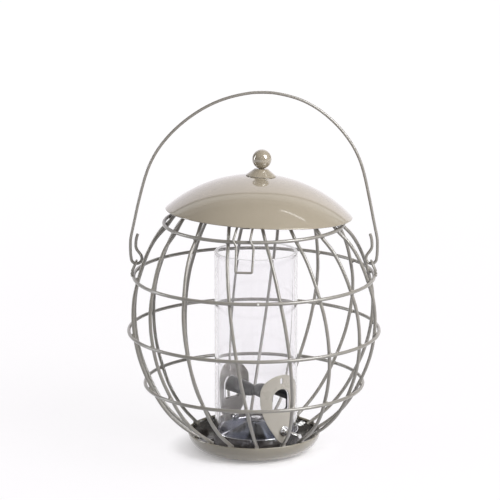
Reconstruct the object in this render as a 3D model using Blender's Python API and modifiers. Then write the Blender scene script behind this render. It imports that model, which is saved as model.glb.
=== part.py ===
"""Squirrel proof bird feeder: a round wire cage on a seed tray, with a clear seed tube inside.

Metres, +Z up. The origin is on the floor, under the middle of the tray. The front is -Y.
An azimuth is counted from the front towards +X, in degrees.
"""
import math

import bmesh
import bpy
from mathutils import Matrix, Vector

# Clearances
GAP = 0.0003                # between two pieces that touch
OVERRUN = 0.002             # how far a cutter reaches past what it cuts

# Cage wires
WIRE = 0.003                # diameter of the ribs and rings
# The centre line of a rib between the tray and the upper ring, as (radius, height)
RIB_LINE = ((0.0660, 0.0260), (0.0768, 0.0368), (0.0852, 0.0486), (0.0920, 0.0619),
            (0.0983, 0.0765), (0.1029, 0.0915), (0.1056, 0.1080), (0.1064, 0.1240),
            (0.1049, 0.1405), (0.1010, 0.1553), (0.0972, 0.1670), (0.0920, 0.1790),
            (0.0850, 0.1905), (0.0752, 0.2010))
# Each of these rings lies against the rib point of this number
RING_STATIONS = (("lower_ring", 3), ("equator_ring", 6), ("shoulder_ring", 9), ("upper_ring", 13))
TOP_RADIUS = 0.058
TOP_BOW = 0.0012            # how far a rib bows out halfway between the two topmost rings
RIB_TAIL = 0.003            # what a rib reaches past the top ring
RIB_FOOT = 0.0045           # what a rib reaches down past the tray's rim
RIB_SLANT = 8.2             # degrees between a rib and the cage's meridian
RIB_AZIMUTHS = (16.5, 37, 58.5, 80.5, 103, 126, 149.5, 172.5,
                192.5, 215.5, 237.5, 260, 282.5, 305.5, 328, 352)

# Tray
TRAY_RIM_RADIUS = 0.058
TRAY_FOOT_RADIUS = 0.036
TRAY_HEIGHT = 0.0168
TRAY_SHEET = 0.0012
TRAY_FACETS = 0.0003        # how far the flats of its mesh stand inside its round shape

# Tube and what carries it
TUBE_OFFSET = 0.0018        # the tube stands this far to the right of the cage's axis
TUBE_RADIUS = 0.036
TUBE_WALL = 0.0025
TUBE_TOP = 0.1778
CUP_FLOOR = 0.0065
CUP_SHEET = 0.0008
CUP_DEPTH = 0.0118
SPACER_RADIUS = 0.024
CONE_RISE = 0.0175
CONE_TOP_RADIUS = 0.007
CONE_SHEET = 0.0008
BOLT_DIAMETER = 0.004
BOLT_HEAD_RADIUS = 0.0033
BOLT_HEAD_RISE = 0.0011
NUT_RADIUS = 0.0042
NUT_THICKNESS = 0.0032

# Feeding ports: azimuth round the tube, drop below the near one, how far round from the
# middle of its plate the perch points, and how far past the tube's middle the hood reaches
PORTS = (("near", 35.4, 0, 4.0, 0.0002), ("far", 220.3, 0.0035, -4.0, -0.0024))
PLATE_FOOT = 0.014          # height of the plate's tip
PLATE_HEIGHT = 0.0608
PLATE_TOP = PLATE_FOOT + PLATE_HEIGHT
PLATE_HALF_WIDTH = 0.0187
PLATE_ARCH = 0.0153
PLATE_SHEET = 0.0008
PLATE_STANDOFF = 0.0014     # between the tube and the plate
PLATE_BEND = TUBE_RADIUS + PLATE_STANDOFF
PLATE_SIDE_SHARES = ((1.0, 0.37), (0.97, 0.46), (0.906, 0.55), (0.78, 0.66),
                     (0.604, 0.77), (0.40, 0.87), (0.218, 0.95), (0.09, 0.987))
OPENING_DROP = 0.0125       # from the plate's top to the opening's
OPENING_TOP = PLATE_TOP - OPENING_DROP
OPENING_HEIGHT = 0.0198
OPENING_HALF_WIDTH = 0.0087
OPENING_CORNER = 0.0025
SLOT_DROP = 0.0053          # from the plate's top to the small slot's middle
SLOT_HEIGHT = PLATE_TOP - SLOT_DROP
SLOT_WIDTH = 0.0026
SLOT_LENGTH = 0.0052
HOOD_BLUNT = 0.56           # power of the sine and cosine, one for an egg and less for a blunt end
HOOD_SKIRT = 0.0022         # straight sides below the egg
HOOD_SHEET = 0.0008
HOOD_FIT = 0.0005           # between a hood and the sides of its opening

# Perches
PERCH_RISE = 0.0104         # above the tip of the plate
PERCH_HEIGHT = PLATE_FOOT + PERCH_RISE
PERCH_DIAMETER = 0.0027
PERCH_LENGTH = 0.0221       # outside the plate
PERCH_KNOB_RADIUS = 0.0022
PERCH_COLLAR_RADIUS = 0.0046
PERCH_COLLAR = 0.0009
PERCH_HUB_RADIUS = 0.0026
PERCH_HUB = 0.0024
PERCH_NUT_RADIUS = 0.0032
PERCH_NUT = 0.0026
PERCH_SPACER_RADIUS = 0.0022

# Lid, a spherical cap that can slide round on the top ring
LID_CENTRE = 0.1269         # height of the cap's centre
LID_RADIUS = 0.1169
LID_SHEET = 0.001
LID_RIM_RADIUS = 0.0813
LID_LEAN_BACK = 3.0         # degrees
LID_LEAN_RIGHT = 3.0        # degrees
BOSS_RADIUS = 0.013
BOSS_NECK_RADIUS = 0.0057
BOSS_RISE = 0.0047
BOSS_FLARE_SHARES = ((0.12, 0.35), (0.45, 0.68))    # out from the neck and down from the top
BOSS_EDGE_SHARE = 0.4       # of the lid's sheet
KNOB_RADIUS = 0.0084
KNOB_RISE = 0.014           # from the lid's outside to the ball's centre
KNOB_BORE = 0.008
KNOB_SEAT_SHARE = 0.9       # of the boss's neck
SCREW_DIAMETER = 0.0035
SCREW_HEAD_RADIUS = 0.0036
SCREW_HEAD = 0.002
SCREW_CROWN_SHARE = 0.8     # of the head's radius, at its end

# Latch clips under the lid
CLIPS = (("front", -5.5), ("back", 174.5))
CLIP_WIRE = 0.002
CLIP_PIVOT_SHARE = 0.5574   # where the pivot stands between the top ring and the upper ring
CLIP_PIVOT_DROP = 0.0034    # from the lid's inside to the pivot
CLIP_KNEE_OUT = 0.0025      # the bend, out from and above the upper ring's wire centre
CLIP_KNEE_UP = 0.002
CLIP_BAR_RADIUS = 0.0905
CLIP_BAR_HEIGHT = 0.180
CLIP_HALF_WIDTH = 0.0072
CLIP_CORNER = 0.0014
CLIP_PIN = 0.0038           # length of each bent-in end
CLIP_JOG_SHARE = 0.2        # where the jog ends, between the bend and the bar
CLIP_LEFT_SHARES = (0.97, 1.36, 0.96, 0.96)
CLIP_RIGHT_SHARES = (0.84, 0.62, 1.07, 0.99)
LUG_LENGTH = 0.008
LUG_WIDTH = 0.005
LUG_BELOW = 0.0021          # below the pivot
LUG_EDGE = 0.0006
LUG_CREASE = 60             # degrees, the least angle of an edge that is eased

# Bail and its eyelets
BAIL_WIRE = 0.0026
BAIL_PIVOT_RISE = 0.01027   # above the middle of the shoulder ring's wire
BAIL_RISE = 0.1506          # from the pivot to the middle of the wire at the top
BAIL_LEAN = 0.0072          # the top stands this far to the right
# Half of the arch, as shares of its half width and of the rise
BAIL_ARCH_SHARES = ((0.999, 0.14), (0.982, 0.204), (0.964, 0.264), (0.944, 0.334), (0.922, 0.403),
                    (0.897, 0.478), (0.868, 0.55), (0.835, 0.611), (0.783, 0.68), (0.712, 0.749),
                    (0.622, 0.817), (0.51, 0.882), (0.418, 0.923), (0.33, 0.953), (0.243, 0.974),
                    (0.154, 0.989), (0.069, 0.998))
HOOK_CURL = 0.0046
HOOK_LEG = 0.0052           # how far the leg stands outside the pivot
HOOK_START_SHARES = (0.97, 1.7)     # of the leg and of the curl, where the curl begins
HOOK_TIP = 0.0266
HOOK_TIP_SHARES = ((-0.80, 0.26), (-0.55, 0.34), (-0.16, 0.44), (0.07, 0.54),
                   (0.09, 0.70), (0.0, 0.84), (-0.25, 1.0))
EYELET_WIRE = 0.002
EYELET_HALF_WIDTH = 0.0055
EYELET_LEAN = 22.5          # degrees inwards from upright

# Rounding of the meshes
RING_STEPS = 48
TURN_STEPS = 40
KNOB_STEPS = 28
SMALL_STEPS = 16
WIRE_SIDES = 8
WIRE_BEVEL_STEPS = 2        # gives a curve's round section eight sides
BEND_STEPS = 3
TRAY_STEPS = 7
ARCH_STEPS = 8
OPENING_STEPS = 12
CORNER_STEPS = 3
PLATE_STRIPS = 14
HOOD_STEPS = 20
DOME_STEPS = 9
LOOP_STEPS = 8
NUT_SIDES = 6
SHARP = 35                  # degrees
MERGE = 0.000003            # points nearer than this are one

ENAMEL = ("taupe_enamel", (0.40, 0.36, 0.275, 1.0), 0.25, 0.0)
CLEAR = ("clear_tube", (0.93, 0.95, 0.97, 0.3), 0.05, 0.0)
STEEL = ("bright_steel", (0.75, 0.75, 0.76, 1.0), 0.12, 1.0)
DARK = ("dark_hood", (0.05, 0.05, 0.05, 1.0), 0.4, 0.0)


def remove_old_objects():
    for old in list(bpy.data.objects):
        bpy.data.objects.remove(old, do_unlink=True)


def new_collection(name):
    group = bpy.data.collections.new(name)
    bpy.context.scene.collection.children.link(group)
    return group


def material(finish):
    name, colour, roughness, metallic = finish
    found = bpy.data.materials.get(name)
    if found:
        return found
    made = bpy.data.materials.new(name)
    made.use_nodes = True
    shader = made.node_tree.nodes["Principled BSDF"]
    shader.inputs["Base Color"].default_value = colour
    shader.inputs["Roughness"].default_value = roughness
    shader.inputs["Metallic"].default_value = metallic
    shader.inputs["Alpha"].default_value = colour[3]
    made.diffuse_color = colour
    return made


remove_old_objects()
PARTS = new_collection("bird_feeder")
CUTTERS = new_collection("cutters")


def add_object(name, data, finish, parent=None):
    piece = bpy.data.objects.new(name, data)
    PARTS.objects.link(piece)
    if finish:
        data.materials.append(material(finish))
    piece.parent = parent
    return piece


def frame(name, place=(0, 0, 0), turn=(0, 0, 0), parent=None):
    """An empty that carries pieces; turn is in degrees."""
    empty = bpy.data.objects.new(name, None)
    PARTS.objects.link(empty)
    empty.location = place
    empty.rotation_euler = [math.radians(angle) for angle in turn]
    empty.parent = parent
    return empty


def smooth(mesh):
    mesh.shade_smooth()
    mesh.set_sharp_from_angle(angle=math.radians(SHARP))


def wire(name, points, diameter, finish, parent=None):
    """A bent wire along the points."""
    curve = bpy.data.curves.new(name, "CURVE")
    curve.dimensions = "3D"
    curve.bevel_depth = diameter / 2
    curve.bevel_resolution = WIRE_BEVEL_STEPS
    curve.use_fill_caps = True
    line = curve.splines.new("POLY")
    line.points.add(len(points) - 1)
    for spot, point in zip(line.points, points):
        spot.co = (*point, 1)
    return add_object(name, curve, finish, parent)


def ring(name, radius, height, finish):
    """A wire ring whose flat stretches are no nearer to the axis than the radius."""
    bpy.ops.mesh.primitive_torus_add(
        major_radius=radius / math.cos(math.pi / RING_STEPS), minor_radius=WIRE / 2,
        major_segments=RING_STEPS, minor_segments=WIRE_SIDES, location=(0, 0, height))
    piece = bpy.context.object
    piece.name = name
    piece.data.name = name
    for group in list(piece.users_collection):
        group.objects.unlink(piece)
    PARTS.objects.link(piece)
    piece.data.materials.append(material(finish))
    smooth(piece.data)
    return piece


def turned(name, profile, finish, parent=None, closed=True, steps=TURN_STEPS):
    """A solid turned about Z. The profile runs down its outer side and back up inside."""
    mesh = bpy.data.meshes.new(name)
    count = len(profile)
    edges = [(i, i + 1) for i in range(count - 1)]
    if closed:
        edges.append((count - 1, 0))
    mesh.from_pydata([(radius, 0, height) for radius, height in profile], edges, [])
    piece = add_object(name, mesh, finish, parent)
    screw = piece.modifiers.new("turn", "SCREW")
    screw.axis = "Z"
    screw.steps = steps
    screw.render_steps = steps
    screw.use_merge_vertices = True
    screw.merge_threshold = MERGE
    screw.use_smooth_shade = True
    return piece


def flat_mesh(name, outlines, thickness):
    """A plate of even thickness in the XY plane; inner outlines become holes."""
    curve = bpy.data.curves.new(name, "CURVE")
    curve.dimensions = "2D"
    curve.fill_mode = "BOTH"
    curve.extrude = thickness / 2
    for outline in outlines:
        line = curve.splines.new("POLY")
        line.points.add(len(outline) - 1)
        for spot, (x, y) in zip(line.points, outline):
            spot.co = (x, y, 0, 1)
        line.use_cyclic_u = True
    holder = bpy.data.objects.new(name, curve)
    PARTS.objects.link(holder)
    bpy.context.view_layer.update()
    mesh = bpy.data.meshes.new_from_object(holder.evaluated_get(bpy.context.evaluated_depsgraph_get()))
    bpy.data.objects.remove(holder)
    work = bmesh.new()
    work.from_mesh(mesh)
    bmesh.ops.remove_doubles(work, verts=work.verts, dist=MERGE)
    work.to_mesh(mesh)
    work.free()
    return mesh


def cylinder_mesh(name, radius, length, sides=SMALL_STEPS):
    """A closed cylinder about Z, centred on the origin; radius is that of its flats."""
    mesh = bpy.data.meshes.new(name)
    work = bmesh.new()
    corner = radius / math.cos(math.pi / sides)
    bmesh.ops.create_cone(work, cap_ends=True, segments=sides, radius1=corner, radius2=corner,
                          depth=length)
    work.to_mesh(mesh)
    work.free()
    return mesh


def cutter(name, mesh, parent=None, place=(0, 0, 0), turn=(0, 0, 0)):
    tool = bpy.data.objects.new(name, mesh)
    CUTTERS.objects.link(tool)
    tool.location = place
    tool.rotation_euler = [math.radians(angle) for angle in turn]
    tool.parent = parent
    tool.hide_render = True
    tool.display_type = "WIRE"
    return tool


def boolean(piece, tool, operation="DIFFERENCE"):
    step = piece.modifiers.new(tool.name, "BOOLEAN")
    step.operation = operation
    step.object = tool
    step.solver = "EXACT"


def rounded(points, radius, steps=BEND_STEPS):
    """The same bent line with each inner corner rounded by a short curve."""
    points = [Vector(point) for point in points]
    line = [points[0]]
    for before, corner, after in zip(points, points[1:], points[2:]):
        back = before - corner
        ahead = after - corner
        start = corner + back.normalized() * min(radius, back.length / 2)
        end = corner + ahead.normalized() * min(radius, ahead.length / 2)
        for i in range(steps + 1):
            share = i / steps
            line.append(start.lerp(corner, share).lerp(corner.lerp(end, share), share))
    line.append(points[-1])
    return line


def on_azimuth(radius, height, azimuth):
    angle = math.radians(azimuth)
    return Vector((radius * math.sin(angle), -radius * math.cos(angle), height))


# The cage's meridian, as (radius, height) of the wires' centres

LID_INSIDE = LID_RADIUS - LID_SHEET
TOP_REACH = LID_INSIDE - GAP - WIRE / 2


def tray_section(share):
    """A point of the tray's outside and its outward direction, from foot to rim as share goes 0 to 1.

    The wall is a quarter of an ellipse, as (radius, height)."""
    angle = math.pi / 2 * share
    reach = TRAY_RIM_RADIUS - TRAY_FOOT_RADIUS
    point = Vector((TRAY_FOOT_RADIUS + reach * math.sin(angle), TRAY_HEIGHT * (1 - math.cos(angle))))
    outward = Vector((TRAY_HEIGHT * math.sin(angle), -reach * math.cos(angle))).normalized()
    return point, outward


def rib_stations():
    """The points of a rib's centre line from its foot in the tray to its tail under the lid."""
    wall, _ = tray_section(1)
    line = [Vector(point) for point in RIB_LINE]
    edge = Vector((wall.x - TRAY_SHEET - TRAY_FACETS, wall.y))
    rim = edge - across(line[0] - edge) * (WIRE / 2 + GAP)
    foot = rim + (rim - line[0]).normalized() * RIB_FOOT
    outward = Vector((TOP_RADIUS, math.sqrt(TOP_REACH ** 2 - TOP_RADIUS ** 2))) / TOP_REACH
    top = Vector((0, LID_CENTRE)) + outward * (TOP_REACH - WIRE - GAP)
    bow = (line[-1] + top) / 2 + across(top - line[-1]) * TOP_BOW
    tail = top + Vector((-outward.y, outward.x)) * RIB_TAIL
    return [foot, rim] + line + [bow, top, tail]


def across(step):
    """The outward direction square to a step up the cage."""
    return Vector((step.y, -step.x)).normalized()


def ring_centres(stations):
    """Each ring's name with the (radius, height) of its wire's centre, outside the ribs."""
    first = len(stations) - len(RIB_LINE) - 3
    places = [(name, first + number) for name, number in RING_STATIONS]
    places.append(("top_ring", len(stations) - 2))
    centres = []
    for name, i in places:
        outward = across((stations[i] - stations[i - 1]).normalized()
                         + (stations[i + 1] - stations[i]).normalized())
        centres.append((name, stations[i] + outward * (WIRE + GAP)))
    return centres


CENTRES = dict(ring_centres(rib_stations()))
SHOULDER_RADIUS, SHOULDER_HEIGHT = CENTRES["shoulder_ring"]
UPPER_RADIUS, UPPER_HEIGHT = CENTRES["upper_ring"]
EQUATOR_HEIGHT = CENTRES["equator_ring"].y
CLIP_PIVOT_RADIUS = TOP_RADIUS + (UPPER_RADIUS - TOP_RADIUS) * CLIP_PIVOT_SHARE

# An eyelet stands on the shoulder ring, and a hook of the bail hangs under its top
BAIL_PIVOT_HEIGHT = SHOULDER_HEIGHT + BAIL_PIVOT_RISE
EYELET_STAND = (WIRE / 2 + EYELET_WIRE / 2 + GAP) * math.sqrt(1 / 2)
EYELET_FOOT = Vector((SHOULDER_RADIUS + EYELET_STAND, SHOULDER_HEIGHT + EYELET_STAND))
EYELET_TOP = BAIL_PIVOT_HEIGHT + BAIL_WIRE / 2 + GAP + EYELET_WIRE / 2
EYELET_LENGTH = (EYELET_TOP - EYELET_FOOT.y) / math.cos(math.radians(EYELET_LEAN))
BAIL_PIVOT_HALF = EYELET_FOOT.x - EYELET_LENGTH * math.sin(math.radians(EYELET_LEAN))


def rib_turns(points):
    """How far round the cage each point of a rib has turned, in degrees, none at the equator."""
    equator = min(range(len(points)), key=lambda i: abs(points[i].y - EQUATOR_HEIGHT))
    turns = [0.0]
    for low, high in zip(points, points[1:]):
        step = (high - low).length * math.tan(math.radians(RIB_SLANT)) / ((low.x + high.x) / 2)
        turns.append(turns[-1] - math.degrees(step))
    return [turn - turns[equator] for turn in turns]


def make_cage():
    for name, centre in CENTRES.items():
        ring(name, centre.x, centre.y, ENAMEL)
    points = rib_stations()
    turns = rib_turns(points)
    for number, azimuth in enumerate(RIB_AZIMUTHS, 1):
        line = [on_azimuth(point.x, point.y, azimuth + turn) for point, turn in zip(points, turns)]
        wire(f"rib_{number:02d}", line, WIRE, ENAMEL)


def make_tray(base):
    outer = []
    inner = []
    for i in range(TRAY_STEPS + 1):
        wall, outward = tray_section(i / TRAY_STEPS)
        outer.append(tuple(wall))
        inner.append(tuple(wall - outward * TRAY_SHEET))
    profile = outer[::-1] + [(0, 0), (0, TRAY_SHEET)] + inner
    tray = turned("tray", profile, ENAMEL)
    # The hole is tapered like the bolt's head and runs out past both faces of the tray
    slope = (BOLT_HEAD_RADIUS - BOLT_DIAMETER / 2) / BOLT_HEAD_RISE
    over = GAP * 2
    wide = BOLT_HEAD_RADIUS + GAP + slope * (GAP + over)
    narrow = wide - slope * (TRAY_SHEET + over * 2)
    hole = bpy.data.meshes.new("tray_hole")
    work = bmesh.new()
    bmesh.ops.create_cone(work, cap_ends=True, segments=SMALL_STEPS, depth=TRAY_SHEET + over * 2,
                          radius1=wide, radius2=narrow)
    work.to_mesh(hole)
    work.free()
    boolean(tray, cutter("tray_hole", hole, base, (0, 0, TRAY_SHEET / 2)))


def make_base(base):
    """The spacer, cup, cone, bolt and nut that hold the tube to the tray."""
    bore = BOLT_DIAMETER / 2 + GAP
    low = TRAY_SHEET + GAP
    high = CUP_FLOOR - GAP
    turned("base_spacer", [(SPACER_RADIUS, high), (SPACER_RADIUS, low), (bore, low), (bore, high)],
           DARK, base)
    lip = TUBE_RADIUS + GAP
    edge = lip + CUP_SHEET
    floor = CUP_FLOOR + CUP_SHEET
    rim = CUP_FLOOR + CUP_DEPTH
    turned("tube_cup", [(edge, rim), (edge, CUP_FLOOR), (bore, CUP_FLOOR), (bore, floor),
                        (lip, floor), (lip, rim)], STEEL, base)
    foot = floor + GAP
    wide = TUBE_RADIUS - TUBE_WALL - GAP
    top = foot + CONE_RISE
    turned("seed_cone", [(bore, top), (CONE_TOP_RADIUS, top), (wide, foot), (wide - CONE_SHEET, foot),
                         (CONE_TOP_RADIUS - CONE_SHEET, top - CONE_SHEET), (bore, top - CONE_SHEET)],
           STEEL, base)
    shank = BOLT_DIAMETER / 2
    head = GAP
    neck = head + BOLT_HEAD_RISE
    end = top + GAP + NUT_THICKNESS + GAP * 2
    turned("base_bolt", [(0, end), (shank, end), (shank, neck), (BOLT_HEAD_RADIUS, head), (0, head)],
           STEEL, base, closed=False, steps=SMALL_STEPS)
    outlines = [polygon(NUT_RADIUS, NUT_SIDES), polygon(bore, SMALL_STEPS)]
    nut = add_object("base_nut", flat_mesh("base_nut", outlines, NUT_THICKNESS), STEEL, base)
    nut.location.z = top + GAP + NUT_THICKNESS / 2


def polygon(radius, sides):
    """Corners of a regular polygon; the radius is that of its flats."""
    corner = radius / math.cos(math.pi / sides)
    return [(corner * math.cos(2 * math.pi * i / sides), corner * math.sin(2 * math.pi * i / sides))
            for i in range(sides)]


def plate_outline():
    """The plate's edge as (sideways, height), from its top round to the right."""
    half = []
    for i in range(ARCH_STEPS + 1):
        angle = math.pi / 2 * i / ARCH_STEPS
        half.append((PLATE_HALF_WIDTH * math.sin(angle), PLATE_TOP - PLATE_ARCH * (1 - math.cos(angle))))
    for wide_share, drop_share in PLATE_SIDE_SHARES:
        half.append((PLATE_HALF_WIDTH * wide_share, PLATE_TOP - PLATE_HEIGHT * drop_share))
    tip = [(0, PLATE_TOP - PLATE_HEIGHT)]
    return half + tip + [(-side, height) for side, height in half[:0:-1]]


def opening_outline():
    """The arched feeding opening."""
    spring = OPENING_TOP - OPENING_HALF_WIDTH
    sill = OPENING_TOP - OPENING_HEIGHT
    edge = []
    for i in range(OPENING_STEPS + 1):
        angle = math.pi * i / OPENING_STEPS
        edge.append((OPENING_HALF_WIDTH * math.cos(angle), spring + OPENING_HALF_WIDTH * math.sin(angle)))
    for side in (-1, 1):
        for i in range(CORNER_STEPS + 1):
            share = i / CORNER_STEPS
            angle = math.pi / 2 * (share if side < 0 else 1 - share)
            inset = OPENING_CORNER * (1 - math.cos(angle))
            drop = OPENING_CORNER * (1 - math.sin(angle))
            edge.append((side * (OPENING_HALF_WIDTH - inset), sill + drop))
    return edge


def slot_outline():
    edge = []
    straight = (SLOT_LENGTH - SLOT_WIDTH) / 2
    for i in range(ARCH_STEPS * 2):
        angle = math.pi * (i + 1 / 2) / ARCH_STEPS
        end = straight if math.sin(angle) > 0 else -straight
        edge.append((SLOT_WIDTH / 2 * math.cos(angle), SLOT_HEIGHT + end + SLOT_WIDTH / 2 * math.sin(angle)))
    return edge


def perch_hole(turn):
    aside = (PLATE_BEND + PLATE_SHEET / 2) * math.sin(math.radians(turn))
    return [(aside + x, PERCH_HEIGHT + y) for x, y in polygon(PERCH_DIAMETER / 2 + GAP, SMALL_STEPS)]


def make_plate(side, port, turn):
    """The teardrop plate, rolled round an upright axis."""
    mesh = bpy.data.meshes.new(f"port_plate_{side}")
    work = bmesh.new()
    bmesh.ops.create_grid(work, x_segments=PLATE_STRIPS, y_segments=1, size=1)
    half = math.asin(min((PLATE_HALF_WIDTH + OVERRUN) / PLATE_BEND, 1))
    middle = TUBE_RADIUS + PLATE_STANDOFF
    for vert in work.verts:
        angle = vert.co.x * half
        height = PLATE_TOP - PLATE_HEIGHT / 2 + vert.co.y * (PLATE_HEIGHT / 2 + OVERRUN)
        vert.co = (middle - PLATE_BEND * (1 - math.cos(angle)), PLATE_BEND * math.sin(angle), height)
    work.to_mesh(mesh)
    work.free()
    plate = add_object(f"port_plate_{side}", mesh, ENAMEL, port)
    shell = plate.modifiers.new("sheet", "SOLIDIFY")
    shell.thickness = PLATE_SHEET
    shell.offset = 1
    outline = flat_mesh(f"plate_outline_{side}", [plate_outline(), opening_outline(), slot_outline(),
                                                  perch_hole(turn)], PLATE_HALF_WIDTH)
    boolean(plate, cutter(f"plate_outline_{side}", outline, port, (middle, 0, 0), (90, 0, 90)), "INTERSECT")


def cut_tube(tube, side, port, way):
    """The openings for the seed and for the perch in the tube's wall."""
    middle = TUBE_RADIUS - TUBE_WALL / 2
    depth = TUBE_WALL * 4
    hole = flat_mesh(f"tube_opening_{side}", [opening_outline()], depth)
    boolean(tube, cutter(f"tube_opening_{side}", hole, port, (middle, 0, 0), (90, 0, 90)))
    bore = cylinder_mesh(f"tube_bore_{side}", PERCH_DIAMETER / 2 + GAP, depth)
    boolean(tube, cutter(f"tube_bore_{side}", bore, way, (middle, 0, PERCH_HEIGHT), (0, 90, 0)))


def blunted(point, width, reach):
    """A point of a quarter sphere moved out to the long blunt hood."""
    out = math.hypot(point.y, point.z)
    angle = math.atan2(max(-point.x, 0), out)
    swell = math.cos(angle) ** HOOD_BLUNT * width / out if out > MERGE else 0
    return (-reach * math.sin(angle) ** HOOD_BLUNT, point.y * swell, point.z * swell)


def make_hood(side, port, reach):
    """A quarter of a long blunt egg with straight skirts, open below and at its mouth."""
    mouth = TUBE_RADIUS + PLATE_STANDOFF - GAP * 2 - OPENING_HALF_WIDTH ** 2 / (2 * PLATE_BEND)
    width = OPENING_HALF_WIDTH - HOOD_FIT
    mesh = bpy.data.meshes.new(f"port_hood_{side}")
    work = bmesh.new()
    bmesh.ops.create_uvsphere(work, u_segments=HOOD_STEPS, v_segments=HOOD_STEPS // 2, radius=width,
                              matrix=Matrix.Rotation(math.pi / 2, 4, "Y"))
    for normal in ((1, 0, 0), (0, 0, -1)):
        everything = work.verts[:] + work.edges[:] + work.faces[:]
        bmesh.ops.bisect_plane(work, geom=everything, dist=MERGE, plane_co=(0, 0, 0),
                               plane_no=normal, clear_outer=True)
    for vert in work.verts:
        vert.co = blunted(vert.co, width, reach)
    rim = [edge for edge in work.edges if all(abs(vert.co.z) < MERGE for vert in edge.verts)]
    skirt = bmesh.ops.extrude_edge_only(work, edges=rim)["geom"]
    for part in skirt:
        if isinstance(part, bmesh.types.BMVert):
            part.co.z -= HOOD_SKIRT
    work.to_mesh(mesh)
    work.free()
    smooth(mesh)
    hood = add_object(f"port_hood_{side}", mesh, DARK, port)
    hood.location = (mouth, 0, OPENING_TOP - OPENING_HALF_WIDTH)
    shell = hood.modifiers.new("sheet", "SOLIDIFY")
    shell.thickness = HOOD_SHEET
    shell.offset = -1


def make_perch(side, way):
    """The perch with its collar, its nut inside the tube and the spacer behind the plate."""
    seat = frame(f"perch_seat_{side}", (0, 0, PERCH_HEIGHT), (0, 90, 0), way)
    rod = PERCH_DIAMETER / 2
    face = TUBE_RADIUS + PLATE_STANDOFF + PLATE_SHEET + GAP
    inside = TUBE_RADIUS - TUBE_WALL - GAP * 2
    knob = PERCH_KNOB_RADIUS
    end = face + PERCH_LENGTH
    collar = face + PERCH_COLLAR
    hub = collar + PERCH_HUB
    profile = [(0, end), (knob * math.sin(math.pi / 4), end - knob * (1 - math.cos(math.pi / 4))),
               (knob, end - knob), (rod, end - knob * 2), (rod, hub), (PERCH_HUB_RADIUS, hub - rod / 2),
               (PERCH_HUB_RADIUS, collar), (PERCH_COLLAR_RADIUS, collar), (PERCH_COLLAR_RADIUS, face),
               (rod, face), (rod, inside - PERCH_NUT - GAP * 2), (0, inside - PERCH_NUT - GAP * 2)]
    turned(f"perch_{side}", profile, STEEL, seat, closed=False, steps=SMALL_STEPS)
    bore = rod + GAP
    nut = add_object(f"perch_nut_{side}", flat_mesh(f"perch_nut_{side}", [
        polygon(PERCH_NUT_RADIUS, NUT_SIDES), polygon(bore, SMALL_STEPS)], PERCH_NUT), STEEL, seat)
    nut.location.z = inside - PERCH_NUT / 2
    near = TUBE_RADIUS + GAP
    far = TUBE_RADIUS + PLATE_STANDOFF - GAP
    turned(f"perch_spacer_{side}", [(PERCH_SPACER_RADIUS, far), (PERCH_SPACER_RADIUS, near),
                                    (bore, near), (bore, far)], DARK, seat, steps=SMALL_STEPS)


def make_tube(base):
    foot = CUP_FLOOR + CUP_SHEET + GAP
    inner = TUBE_RADIUS - TUBE_WALL
    tube = turned("seed_tube", [(TUBE_RADIUS, TUBE_TOP), (TUBE_RADIUS, foot), (inner, foot),
                                (inner, TUBE_TOP)], CLEAR, base)
    for side, azimuth, drop, turn, past in PORTS:
        port = frame(f"port_{side}", (0, 0, -drop), (0, 0, azimuth - 90), base)
        way = frame(f"perch_way_{side}", turn=(0, 0, turn), parent=port)
        cut_tube(tube, side, port, way)
        make_plate(side, port, turn)
        make_hood(side, port, TUBE_RADIUS + past)
        make_perch(side, way)


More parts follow.
